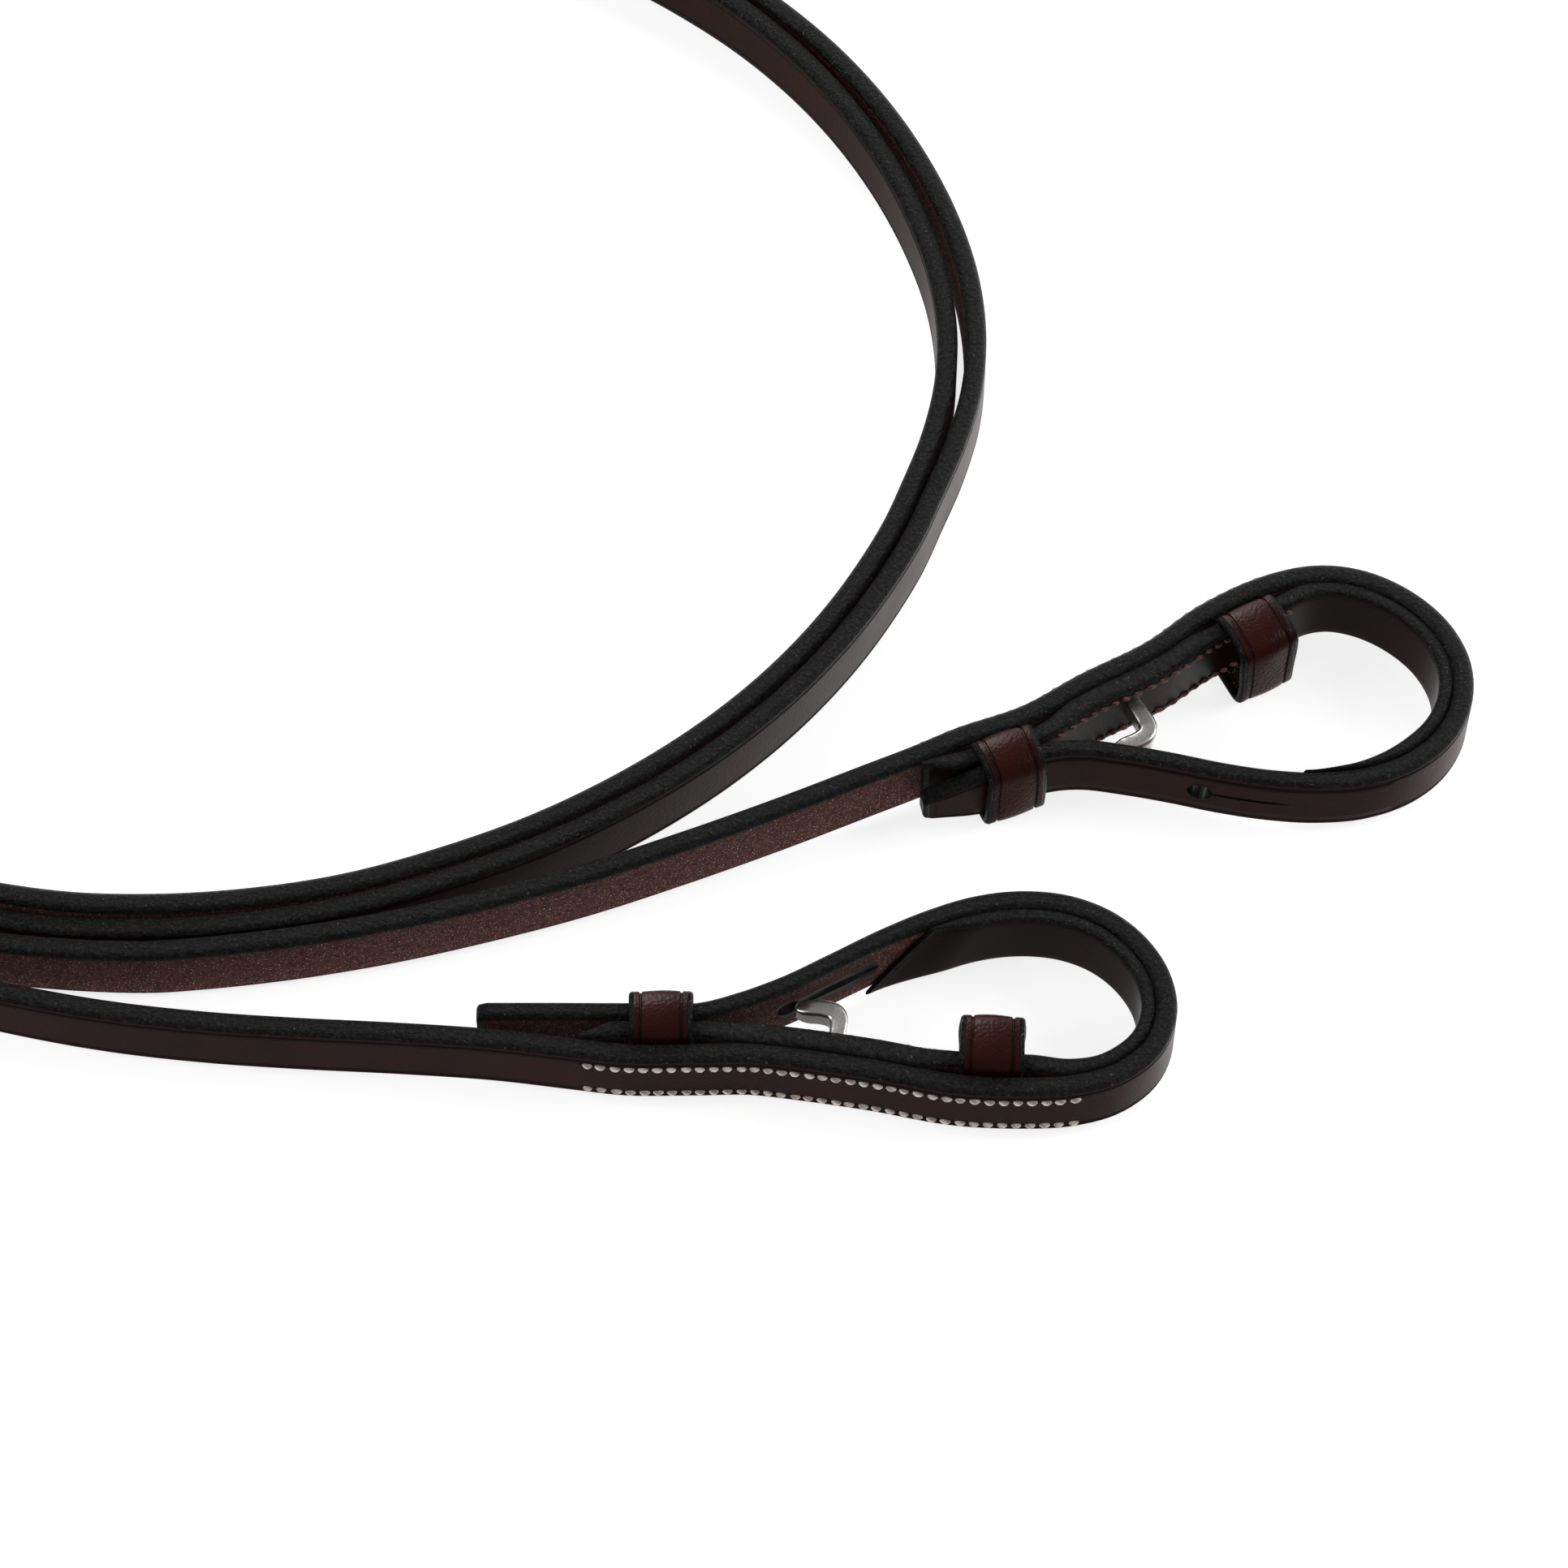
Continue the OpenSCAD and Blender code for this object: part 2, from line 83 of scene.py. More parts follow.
def ease(x):
    """0 below 0, 1 above 1, and a smooth S between."""
    c = np.clip(x, 0, 1)
    return c * c * (3 - 2 * c)


# ---------------------------------------------------------------- lines that leather lies on
class Line:
    """A smooth line through plan points given in millimetres."""

    def __init__(self, points):
        p = np.array(points, float) * MM
        first, last = 2 * p[0] - p[1], 2 * p[-1] - p[-2]
        q = np.vstack([first, p, last])
        rows, self.knots, run = [p[0]], [0.0], 0.0
        for i in range(1, len(q) - 2):
            t = [0.0]
            for k in range(3):
                t.append(t[-1] + np.linalg.norm(q[i + k] - q[i + k - 1]) ** 0.5)
            u = np.linspace(t[1], t[2], 33)[1:, None]
            a = [
                ((t[k + 1] - u) * q[i + k - 1] + (u - t[k]) * q[i + k]) / (t[k + 1] - t[k]) for k in range(3)
            ]
            b = [((t[k + 2] - u) * a[k] + (u - t[k]) * a[k + 1]) / (t[k + 2] - t[k]) for k in range(2)]
            c = ((t[2] - u) * b[0] + (u - t[1]) * b[1]) / (t[2] - t[1])
            run += np.linalg.norm(np.diff(np.vstack([rows[-1], c]), axis=0), axis=1).sum()
            self.knots.append(run)
            rows.extend(c)
        rows = np.array(rows)
        steps = np.linalg.norm(np.diff(rows, axis=0), axis=1)
        self.run = np.concatenate([[0], np.cumsum(steps)])
        self.length = self.run[-1]
        self.rows = rows

    def point(self, s):
        """Plan points at runs s, carried straight on past either end."""
        s = np.asarray(s, float)
        c = np.clip(s, 0, self.length)
        p = np.stack([np.interp(c, self.run, self.rows[:, k]) for k in (0, 1)], -1)
        return p + self.heading(c) * (s - c)[..., None]

    def heading(self, s, reach=1.2 * MM):
        lo, hi = np.clip(s - reach, 0, self.length), np.clip(s + reach, 0, self.length)
        d = np.stack([np.interp(hi, self.run, self.rows[:, k]) - np.interp(
            lo, self.run, self.rows[:, k],
        ) for k in (0, 1)], -1)
        return d / np.linalg.norm(d, axis=-1, keepdims=True)

    def left(self, s):
        h = self.heading(s)
        return np.stack([-h[..., 1], h[..., 0]], -1)


def spot(f, along, out):
    """A plan point in a keeper's or stud's frame, in millimetres."""
    a = math.radians(f[2])
    return (
        f[0] + along * math.cos(a) - out * f[3] * math.sin(a),
        f[1] + along * math.sin(a) + out * f[3] * math.cos(a),
    )


def mm(v):
    return v / MM


REACH = mm(KEEPER_LEN) / 2 + 0.6
PLATE_REACH = 7.6
LINING_IN = mm(BODY_DEPTH) / 2 - mm(KEEPER_T) - mm(CLEAR) - mm(LINING_T) / 2
BILLET_OUT = LINING_IN - mm(LINING_T) / 2 - mm(CLEAR) - mm(BILLET_T) / 2


def strap_out(depth):
    return mm(depth) / 2 + mm(CLEAR) + mm(STRAP_T) / 2


OVER_PLATE = mm(PLATE_T) / 2 + mm(CLEAR) + mm(STRAP_T) / 2


def coil_point(turned):
    """The coil shrinks by two strands a turn."""
    inset = (2 * mm(PITCH) + 0.4) * turned / 360
    q = math.radians(270 - turned)
    return (-101.5 + (165.3 - inset) * math.cos(q), 151.5 + (136.4 - inset) * math.sin(q))


second_turn = [
    (20.1, 235.2), (30, 224.2), (38.6, 212.1), (45.8, 199.1), (51.5, 185.4),
    (55.3, 172), (56.9, 158.5), (56.2, 145.5), (53.4, 133), (49.3, 121.5), (44.5, 110),
    (34.5, 93), (23, 78.5), (9.5, 65.6), (-6, 54.2), (-24, 44), (-43, 36.1),
    (-62, 30.1), (-81, 26.7), (-100, 25.3), (-119, 26),
]
head_a = [
    (50.5, 50.4), (56.5, 51.8), spot(BODY_A, -REACH, BILLET_OUT), spot(BODY_A, REACH, BILLET_OUT),
    (82, 59.2), (91, 58), (100, 56.2), (109.4, 54), (118.9, 52.4), (128.4, 51.8),
    (138, 52.8), (146.8, 56.3), (153.3, 62), (157, 69.5), (157.4, 78), (154, 86.3),
    (147.4, 93.2), (138.9, 97.7), (129.8, 98.9),
    spot(LOOP_A, REACH, strap_out(LOOP_DEPTH)), spot(LOOP_A, -REACH, strap_out(LOOP_DEPTH)),
    spot(STUD_A, PLATE_REACH, OVER_PLATE), spot(STUD_A, -PLATE_REACH, OVER_PLATE),
    spot(BODY_A, REACH, strap_out(BODY_DEPTH)), spot(BODY_A, -REACH, strap_out(BODY_DEPTH)),
    (49.5, 57.6), (41, 53.9), (22.5, 45.9), (3.5, 38.3), (-15.5, 31.4), (-34.3, 25.9),
    (-53.1, 21.3), (-71.9, 17.9), (-90.5, 15.7),
]
turn_in = [(-165.5, 37.4), (-180.5, 45.5), (-193, 57), (-202, 71.5), (-207, 88)]
END_TURN = math.radians(99.8)
STRAIGHT_END = 90
end_dir = (math.cos(END_TURN), math.sin(END_TURN))
straight = [
    (turn_in[-1][0] + 15 * k * end_dir[0], turn_in[-1][1] + 15 * k * end_dir[1]) for k in range(1, 7)
]
line_a = Line(
    head_a + [coil_point(q) for q in range(0, 225, 8)] + second_turn + [coil_point(378)] + turn_in + straight
)
head_b = [
    (-35.4, 1.4), (-21, 1.4), spot(BODY_B, -REACH, BILLET_OUT), spot(BODY_B, REACH, BILLET_OUT),
    (14.5, 3.4), (23.5, 7), (33, 12), (42.3, 17), (51.5, 21.2), (60.6, 24.2), (69.6, 25.3),
    (78.4, 24.3), (86, 21), (92, 15.5), (95.8, 8.5), (96.6, 1), (93.8, -6.2),
    (87.3, -11.6), (78.9, -14.2),
    spot(LOOP_B, REACH, strap_out(LOOP_DEPTH)), spot(LOOP_B, -REACH, strap_out(LOOP_DEPTH)),
    spot(STUD_B, PLATE_REACH, OVER_PLATE), spot(STUD_B, -PLATE_REACH, OVER_PLATE),
    (17, -7.6),
    spot(BODY_B, REACH, strap_out(BODY_DEPTH)), spot(BODY_B, -REACH, strap_out(BODY_DEPTH)),
    (-16, -6.6), (-32, -4.5), (-50, -3.1), (-69, -2), (-87, -0.6), (-104, 1.5),
    (-119, 4.3), (-134, 8), (-149, 13),
]


def beside(points, d):
    """The plan points moved sideways, each by its own distance in d, positive to the left."""
    p = np.array(points, float)
    step = np.diff(p, axis=0)
    step /= np.linalg.norm(step, axis=1, keepdims=True)
    h = np.vstack([step[:1], step[1:] + step[:-1], step[-1:]])
    h /= np.linalg.norm(h, axis=1, keepdims=True)
    return [tuple(r) for r in p + np.array(d)[:, None] * np.stack([-h[:, 1], h[:, 0]], 1)]


coil_line = (
    [coil_point(q) for q in range(24, 225, 8)]
    + second_turn
    + [coil_point(q) for q in range(378, 459, 8)]
    + [coil_point(q) for q in (461, 463, 464)]
)
# how much further than a strand's pitch rein B stands from rein A at the first points listed in second_turn
spread = [0.4, 0.8, 1.1, 1.3, 1.4, 1.3, 1.1, 0.8, 0.3]
apart = [mm(PITCH)] * len(coil_line)
for k, extra in enumerate(spread, len(range(24, 225, 8))):
    apart[k] += extra
line_b = Line(head_b + beside(coil_line, apart))

KEEPER_RUN_A, KEEPER_RUN_B = line_a.knots[24], line_b.knots[25]
SETTLE, RISE = 270 * MM, 210 * MM
BUCKLE_LIFT = (2 * CLEAR + 2 * BAR_D) / 2


def lift_a(s):
    up = LIFT * (1 - ease((s - KEEPER_RUN_A) / SETTLE))
    return up + BUCKLE_LIFT * ease((s - line_a.length + STRAIGHT_END * MM + RISE) / RISE)


def lift_b(s):
    return LIFT * (1 - ease((s - KEEPER_RUN_B) / SETTLE))


# ---------------------------------------------------------------- shaping of leather
def cut_strip(
    length, width, thick, step, edge=1.5 * MM, crease=1.9 * MM, dip=0.22 * MM, face_rows=4, start=0.0,
):
    """A flat strip with rounded edges and a crease pressed in along each side of its grain face."""
    bm = bmesh.new()
    edge = min(edge, thick * 0.46)
    half = thick / 2
    ring = []

    def corner(y0, z0, a0):
        for k in range(5):
            a = math.radians(a0 + 90 * k / 4)
            ring.append((y0 + edge * math.cos(a), z0 + edge * math.sin(a)))

    corner(half - edge, edge, -90)
    groove = [(-0.34 * MM, 0), (-0.12 * MM, dip), (0.12 * MM, dip), (0.34 * MM, 0)]
    if dip:
        ring += [(half - d, crease + z) for z, d in groove]
    inner = crease + 0.6 * MM if dip else edge
    ring += [(half, inner + (width - 2 * inner) * (k + 0.5) / face_rows) for k in range(face_rows)]
    if dip:
        ring += [(half - d, width - crease + z) for z, d in groove]
    corner(half - edge, width - edge, 0)
    corner(edge - half, width - edge, 90)
    ring += [(-half, width - edge - (width - 2 * edge) * (k + 0.5) / 3) for k in range(3)]
    corner(edge - half, edge, 180)
    face = bm.faces.new([bm.verts.new((start, y, z)) for y, z in ring])
    far = bmesh.ops.extrude_face_region(bm, geom=[face])["geom"]
    bmesh.ops.translate(bm, vec=(length, 0, 0), verts=[g for g in far if isinstance(g, bmesh.types.BMVert)])
    caps = [f for f in bm.faces if len(f.verts) > 4]
    bmesh.ops.recalc_face_normals(bm, faces=bm.faces)
    bmesh.ops.bevel(
        bm, geom=list({e for f in caps for e in f.edges}), offset=min(0.5 * MM, edge * 0.6), segments=2,
        profile=0.5, affect="EDGES", material=-1,
    )
    long = [e for e in bm.edges if abs(e.verts[0].co.x - e.verts[1].co.x) > length * 0.6]
    bmesh.ops.subdivide_edges(bm, edges=long, cuts=max(1, int(length / step)), use_grid_fill=True)
    keep_cut(bm, width, start, length)
    return bm


def keep_cut(bm, width, start=0.0, length=1.0):
    """Stores each point's flat place, and how far it is from the nearest long or short edge."""
    cut = bm.verts.layers.float_vector.new("cut")
    rim = bm.verts.layers.float.new("rim")
    for v in bm.verts:
        v[cut] = v.co
        v[rim] = min(v.co.z, width - v.co.z, v.co.x - start, start + length - v.co.x)


def shape(bm, change):
    """Moves the flat points: change takes and returns arrays x, y, z."""
    p = np.array([v.co for v in bm.verts])
    q = np.stack(change(p[:, 0], p[:, 1], p[:, 2]), -1)
    for v, c in zip(bm.verts, q):
        v.co = c


def lay(bm, line, side, raise_by, offset=0.0):
    """Lays a flat strip on a plan line. side is +1 where its grain faces left of the line."""
    p = np.array([v.co for v in bm.verts])
    s = p[:, 0]
    away = (offset(s) if callable(offset) else offset) + p[:, 1]
    plan = line.point(s) + line.left(s) * (side * away)[:, None]
    up = p[:, 2] + raise_by(s)
    for v, (x, y), z in zip(bm.verts, plan, up):
        v.co = (x, y, z)
    bmesh.ops.recalc_face_normals(bm, faces=bm.faces)


def wrap(bm, line, put):
    """Lays a flat strip round a line that is drawn in an upright plane."""
    p = np.array([v.co for v in bm.verts])
    q = line.point(p[:, 0]) + line.left(p[:, 0]) * p[:, 1][:, None]
    for v, (a, b), w in zip(bm.verts, q, p[:, 2]):
        v.co = put(a, b, w)
    bmesh.ops.recalc_face_normals(bm, faces=bm.faces)


def finish_piece(bm, name, material, body, stands_for=(), smooth=True):
    mesh = bpy.data.meshes.new(name)
    bm.to_mesh(mesh)
    bm.free()
    for poly in mesh.polygons:
        poly.use_smooth = smooth
    if smooth:
        mesh.set_sharp_from_angle(angle=0.75)
    mesh.materials.append(material)
    piece = bpy.data.objects.new(name, mesh)
    bpy.context.collection.objects.link(piece)
    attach(piece, body)
    if stands_for:
        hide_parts(*stands_for)
    return piece


# ---------------------------------------------------------------- camera
camera = bpy.data.objects.new("camera", bpy.data.cameras.new("camera"))
bpy.context.collection.objects.link(camera)
camera.data.lens, camera.data.sensor_width = 130.4, 36
aim = Vector((23.5, 60.5, 0)) * MM
tilt = math.radians(61)
camera.location = aim + Vector((0, -math.cos(tilt), math.sin(tilt))) * 1.130
camera.rotation_euler = (math.pi / 2 - tilt, 0, 0)
camera.data.clip_start, camera.data.clip_end = 0.05, 20
bpy.context.scene.camera = camera


# ---------------------------------------------------------------- materials
def shade(code):
    """sRGB hex to linear colour."""
    parts = [int(code[i : i + 2], 16) / 255 for i in (1, 3, 5)]
    return tuple(c / 12.92 if c <= 0.04045 else ((c + 0.055) / 1.055) ** 2.4 for c in parts) + (1.0,)


def add(tree, kind, settings=None, **sockets):
    """Adds a node: settings are its properties, and sockets its inputs by name or by index as i0, i1."""
    n = tree.nodes.new(kind)
    for key, value in (settings or {}).items():
        setattr(n, key, value)
    for key, value in sockets.items():
        by_index = key[0] == "i" and key[1:].isdigit()
        socket = n.inputs[int(key[1:]) if by_index else key.replace("_", " ")]
        if isinstance(value, bpy.types.NodeSocket):
            tree.links.new(value, socket)
        else:
            socket.default_value = value
    return n


def new_material(name, **principled):
    m = bpy.data.materials.new(name)
    m.use_nodes = True
    tree = m.node_tree
    shader = tree.nodes["Principled BSDF"]
    for key, value in principled.items():
        shader.inputs[key.replace("_", " ")].default_value = value
    return m, tree, shader


def per(size_mm):
    """Pattern scale for a feature of that size on coordinates in metres."""
    return 1 / (size_mm * MM)


def ramp(tree, fac, stops, kind="LINEAR"):
    """A colour ramp with (position, colour) stops, set on a node that add made."""
    n = add(tree, "ShaderNodeValToRGB", i0=fac)
    n.color_ramp.interpolation = kind
    while len(n.color_ramp.elements) < len(stops):
        n.color_ramp.elements.new(0.5)
    for e, (pos, colour) in zip(n.color_ramp.elements, stops):
        e.position, e.color = pos, colour
    return n.outputs[0]


def leather(name, grain, grain_dark, flesh, flesh_dark, paint, fleck, paint_mm=0.85, grain_rough=0.42,
            coat=0.0, pebble=0.5, crease_mm=1.9, crease_dark=0.95, spec=0.18):
    """Bridle leather: curried and waxed, so the grain is smooth with a low gloss. Its cut edges are
    painted black and burnished to a slightly pebbled, satin bead. Its flesh side is a matt nap
    with pale fibres in it."""
    m, tree, shader = new_material(name, Coat_Weight=coat, Coat_Roughness=0.22, Specular_IOR_Level=spec)
    where = add(tree, "ShaderNodeAttribute", {"attribute_name": "cut"}).outputs["Vector"]
    rim = add(tree, "ShaderNodeAttribute", {"attribute_name": "rim"}).outputs["Fac"]
    through = add(tree, "ShaderNodeSeparateXYZ", i0=where)
    # the paint's border wanders by about 0.15 mm
    wander = add(tree, "ShaderNodeTexNoise", i0=where, Scale=per(1.6), Detail=2).outputs[0]
    edge_at = add(
        tree, "ShaderNodeMath", {"operation": "MULTIPLY_ADD"}, i0=wander, i1=0.5 * MM, i2=rim,
    ).outputs[0]
    flesh_on = add(
        tree, "ShaderNodeMapRange", i0=through.outputs[1], i1=-0.25 * MM, i2=0.25 * MM, i3=1.0, i4=0.0,
    ).outputs[0]
    # on the flesh side it soaks in 0.4 mm further
    edge_at = add(
        tree, "ShaderNodeMath", {"operation": "MULTIPLY_ADD"}, i0=flesh_on, i1=-0.4 * MM, i2=edge_at,
    ).outputs[0]
    paint_on = add(
        tree, "ShaderNodeMapRange", i0=edge_at, i1=(paint_mm + 0.17) * MM, i2=(paint_mm + 0.37) * MM,
        i3=1.0, i4=0.0,
    ).outputs[0]
    # grain: uneven dye over 12 mm and a fine pore pattern of about 0.6 mm, so that it shows
    dye = add(tree, "ShaderNodeTexNoise", i0=where, Scale=per(12), Detail=4, Roughness=0.6).outputs[0]
    pores = add(
        tree, "ShaderNodeTexVoronoi", {"feature": "SMOOTH_F1"}, i0=where, Scale=per(0.62),
    ).outputs[0]
    grain_tone = ramp(tree, dye, [(0.3, shade(grain_dark)), (0.72, shade(grain))])
    # the crease is pressed in with a hot iron, which darkens it; the dark line is also painted shade in the
    # crease's groove
    in_crease = add(tree, "ShaderNodeMath", {"operation": "SUBTRACT"}, i0=rim, i1=crease_mm * MM).outputs[0]
    in_crease = add(tree, "ShaderNodeMath", {"operation": "ABSOLUTE"}, i0=in_crease).outputs[0]
    crease_on = add(
        tree, "ShaderNodeMapRange", i0=in_crease, i1=0.2 * MM, i2=0.6 * MM, i3=crease_dark, i4=0.0,
    ).outputs[0]
    grain_tone = add(
        tree, "ShaderNodeMix", {"data_type": "RGBA"}, Factor=crease_on, i6=grain_tone, i7=shade(paint),
    ).outputs[2]
    # flesh side: nap in clumps of about 0.9 mm, with pale fibre ends of 0.36 mm scattered in it
    nap = add(tree, "ShaderNodeTexNoise", i0=where, Scale=per(0.9), Detail=6, Roughness=0.7).outputs[0]
    nap_tone = ramp(tree, nap, [(0.38, shade(flesh_dark)), (0.62, shade(flesh))])
    fibre = add(tree, "ShaderNodeTexNoise", i0=where, Scale=per(0.36), Detail=1).outputs[0]
    fibre_on = add(tree, "ShaderNodeMapRange", i0=fibre, i1=0.64, i2=0.72, i3=0.0, i4=0.95).outputs[0]
    nap_tone = add(
        tree, "ShaderNodeMix", {"data_type": "RGBA"}, Factor=fibre_on, i6=nap_tone, i7=shade(fleck),
    ).outputs[2]
    face = add(
        tree, "ShaderNodeMix", {"data_type": "RGBA"}, Factor=flesh_on, i6=grain_tone, i7=nap_tone,
    ).outputs[2]
    # edge paint, black, with painted highlights: grey where the pebbled bead stands high, and a few light
    # specks as painted glints
    bead = add(tree, "ShaderNodeTexNoise", i0=where, Scale=per(0.8), Detail=5, Roughness=0.65).outputs[0]
    paint_and_highlight_tone = ramp(tree, bead, [(0.48, shade(paint)), (0.74, shade("#302e2d"))])
    # the light specks paint small glints of light on the bead
    glint_noise = add(tree, "ShaderNodeTexNoise", i0=where, Scale=per(0.55), Detail=1).outputs[0]
    painted_glint_on = add(tree, "ShaderNodeMapRange", i0=glint_noise, i1=0.7, i2=0.78, i3=0.0, i4=0.55).outputs[0]
    paint_and_highlight_tone = add(
        tree, "ShaderNodeMix", {"data_type": "RGBA"}, Factor=painted_glint_on, i6=paint_and_highlight_tone, i7=shade("#827b77"),
    ).outputs[2]
    colour = add(
        tree, "ShaderNodeMix", {"data_type": "RGBA"}, Factor=paint_on, i6=face, i7=paint_and_highlight_tone,
    ).outputs[2]
    tree.links.new(colour, shader.inputs["Base Color"])
    # gloss: waxed grain, matt flesh, satin paint
    gloss = add(tree, "ShaderNodeMapRange", i0=dye, i3=grain_rough - 0.06, i4=grain_rough + 0.08).outputs[0]
    rough = add(tree, "ShaderNodeMix", Factor=flesh_on, i2=gloss, i3=0.86).outputs[0]
    satin = add(tree, "ShaderNodeMapRange", i0=bead, i3=0.24, i4=0.44).outputs[0]
    rough = add(tree, "ShaderNodeMix", Factor=paint_on, i2=rough, i3=satin).outputs[0]
    tree.links.new(rough, shader.inputs["Roughness"])
    # relief, in metres
    skin = add(
        tree, "ShaderNodeMapRange", i0=pores, i1=0.0, i2=0.7, i3=0.0, i4=0.035 * MM * pebble,
    ).outputs[0]
    nap_up = add(tree, "ShaderNodeMapRange", i0=nap, i3=0.0, i4=0.45 * MM).outputs[0]
    relief = add(tree, "ShaderNodeMix", Factor=flesh_on, i2=skin, i3=nap_up).outputs[0]
    bead_up = add(tree, "ShaderNodeMapRange", i0=bead, i3=0.0, i4=1.2 * MM).outputs[0]
    relief = add(tree, "ShaderNodeMix", Factor=paint_on, i2=relief, i3=bead_up).outputs[0]
    bump = add(tree, "ShaderNodeBump", Strength=1.0, Distance=1.0, Height=relief)
    tree.links.new(bump.outputs[0], shader.inputs["Normal"])
    return m


rein_leather = leather(
    "bridle_leather_dark_brown", "#321711", "#230f0c", "#69423c", "#432824", "#060606", "#e2d0c6",
    pebble=0.8, paint_mm=1.05, crease_mm=2.5,
)
lining_leather = leather(
    "lining_leather_plum_brown", "#1f0e0b", "#180b09", "#4a2a26", "#2c1816", "#0b0a0a", "#8c7468",
    pebble=0.5, crease_mm=50, paint_mm=1.0,
)
keeper_leather = leather(
    "keeper_leather_red_brown", "#38130d", "#260c08", "#2b211c", "#171210", "#0c0b0b", "#8d8460",
    grain_rough=0.34, coat=0.0, pebble=2.0, paint_mm=0.9, crease_mm=1.9, crease_dark=0.5, spec=0.14,
)


def thread(name, tone, dark):
    """Linen thread, twisted from three plies and waxed: a soft sheen, with the twist showing as
    slanting bands 0.7 mm apart."""
    m, tree, shader = new_material(name, Roughness=0.6, Sheen_Weight=0.2)
    where = add(tree, "ShaderNodeTexCoord").outputs["Object"]
    twist = add(
        tree, "ShaderNodeTexWave", {"bands_direction": "DIAGONAL"}, i0=where, Scale=per(0.7) / 6.28,
        Distortion=1.5,
    ).outputs[1]
    tone_at = ramp(tree, twist, [(0.2, shade(dark)), (0.7, shade(tone))])
    tree.links.new(tone_at, shader.inputs["Base Color"])
    bump = add(tree, "ShaderNodeBump", Strength=0.6, Distance=0.12 * MM, Height=twist)
    tree.links.new(bump.outputs[0], shader.inputs["Normal"])
    return m


cream_thread = thread("waxed_linen_thread_cream", "#e6dcd4", "#b3a49a")
rust_thread = thread("waxed_linen_thread_rust", "#6e3324", "#44190f")


def awl_hole():
    """The hole that the awl leaves beside a stitch, drawn as a dark patch: painted shade in the hole."""
    m, tree, shader = new_material("awl_hole_shadow", Roughness=0.9)
    where = add(tree, "ShaderNodeTexCoord").outputs["Object"]
    hole_shade_noise = add(tree, "ShaderNodeTexNoise", i0=where, Scale=per(0.5)).outputs[0]
    tree.links.new(
        ramp(tree, hole_shade_noise, [(0.3, shade("#060404")), (0.8, shade("#150d0c"))]), shader.inputs["Base Color"],
    )
    return m


painted_hole_shade = awl_hole()


def bright_steel():
    """Stainless steel, cast and tumbled: bright, with a faint waviness over 3 mm and fine scuffs."""
    m, tree, shader = new_material("tumbled_stainless_steel", Metallic=1.0)
    where = add(tree, "ShaderNodeTexCoord").outputs["Object"]
    wave = add(tree, "ShaderNodeTexNoise", i0=where, Scale=per(3), Detail=3).outputs[0]
    scuff = add(tree, "ShaderNodeTexNoise", i0=where, Scale=per(0.4), Detail=4, Roughness=0.7).outputs[0]
    tree.links.new(
        ramp(tree, scuff, [(0.35, shade("#d0ceca")), (0.65, shade("#f0efec"))]), shader.inputs["Base Color"],
    )
    rough = add(tree, "ShaderNodeMapRange", i0=scuff, i3=0.22, i4=0.4).outputs[0]
    tree.links.new(rough, shader.inputs["Roughness"])
    bump = add(tree, "ShaderNodeBump", Strength=0.35, Distance=0.25 * MM, Height=wave)
    tree.links.new(bump.outputs[0], shader.inputs["Normal"])
    return m


steel = bright_steel()

# ---------------------------------------------------------------- the two straps, as cords
KEYHOLE_D = 4.6 * MM
SLIT = 18 * MM
HOLE_RUN_A, HOLE_RUN_B = 57 * MM, 60 * MM


def strap_thickness(s):
    return (BILLET_T + (STRAP_T - BILLET_T) * ease((s - 60 * MM) / (60 * MM))) / STRAP_T


def pierce(piece, cutter):
    """Cuts one closed shape out of a piece and keeps the result as its mesh."""
    mesh = bpy.data.meshes.new("cutter")
    cutter.to_mesh(mesh)
    cutter.free()
    tool = bpy.data.objects.new("cutter", mesh)
    bpy.context.collection.objects.link(tool)
    step = piece.modifiers.new("pierce", "BOOLEAN")
    step.operation, step.solver, step.object = "DIFFERENCE", "EXACT", tool
    cut = bpy.data.meshes.new_from_object(piece.evaluated_get(bpy.context.evaluated_depsgraph_get()))
    piece.modifiers.clear()
    piece.data = cut
    bpy.data.objects.remove(tool)


def punch(bm, s, z, d, deep=3 * STRAP_T):
    """A round punch through the flat strap at run s and height z."""
    turn = Matrix.Translation((s, 0, z)) @ Matrix.Rotation(math.pi / 2, 4, "X")
    bmesh.ops.create_cone(
        bm, cap_ends=True, segments=28, radius1=d / 2, radius2=d / 2, depth=deep, matrix=turn,
    )


def slit(bm, s, z, long, gape):
    """A knife slit from the round hole, gaping most in its middle where the billet is bent."""
    made = bmesh.ops.create_uvsphere(bm, u_segments=24, v_segments=12, radius=0.5)["verts"]
    bmesh.ops.scale(bm, vec=(long, 4 * STRAP_T, gape), verts=made)
    bmesh.ops.translate(bm, vec=(s + long / 2, 0, z), verts=made)


def cutter_on(line, side, raise_by, make):
    """A cutter made flat, then laid like the strap it cuts."""
    bm = bmesh.new()
    make(bm)
    keep_cut(bm, STRAP_W)
    rim = bm.verts.layers.float["rim"]
    for v in bm.verts:
        v[rim] = 0
    lay(bm, line, side, raise_by)
    bmesh.ops.recalc_face_normals(bm, faces=bm.faces)
    return bm


def lay_rein(name, line, side, raise_by, width_at, punches, slits, node):
    bm = cut_strip(line.length, STRAP_W, STRAP_T, 1.5 * MM)

    def trim(x, y, z):
        wide = width_at(x)
        return x, y * strap_thickness(x), STRAP_W / 2 + (z - STRAP_W / 2) * wide

    shape(bm, trim)
    lay(bm, line, side, raise_by)
    piece = finish_piece(bm, name, rein_leather, "reins", [node])
    for at, d in punches:
        pierce(piece, cutter_on(line, side, raise_by, lambda bm: punch(bm, at, STRAP_W / 2, d)))
    for at, long, gape in slits:
        pierce(piece, cutter_on(line, side, raise_by, lambda bm: slit(bm, at, STRAP_W / 2, long, gape)))
    return piece


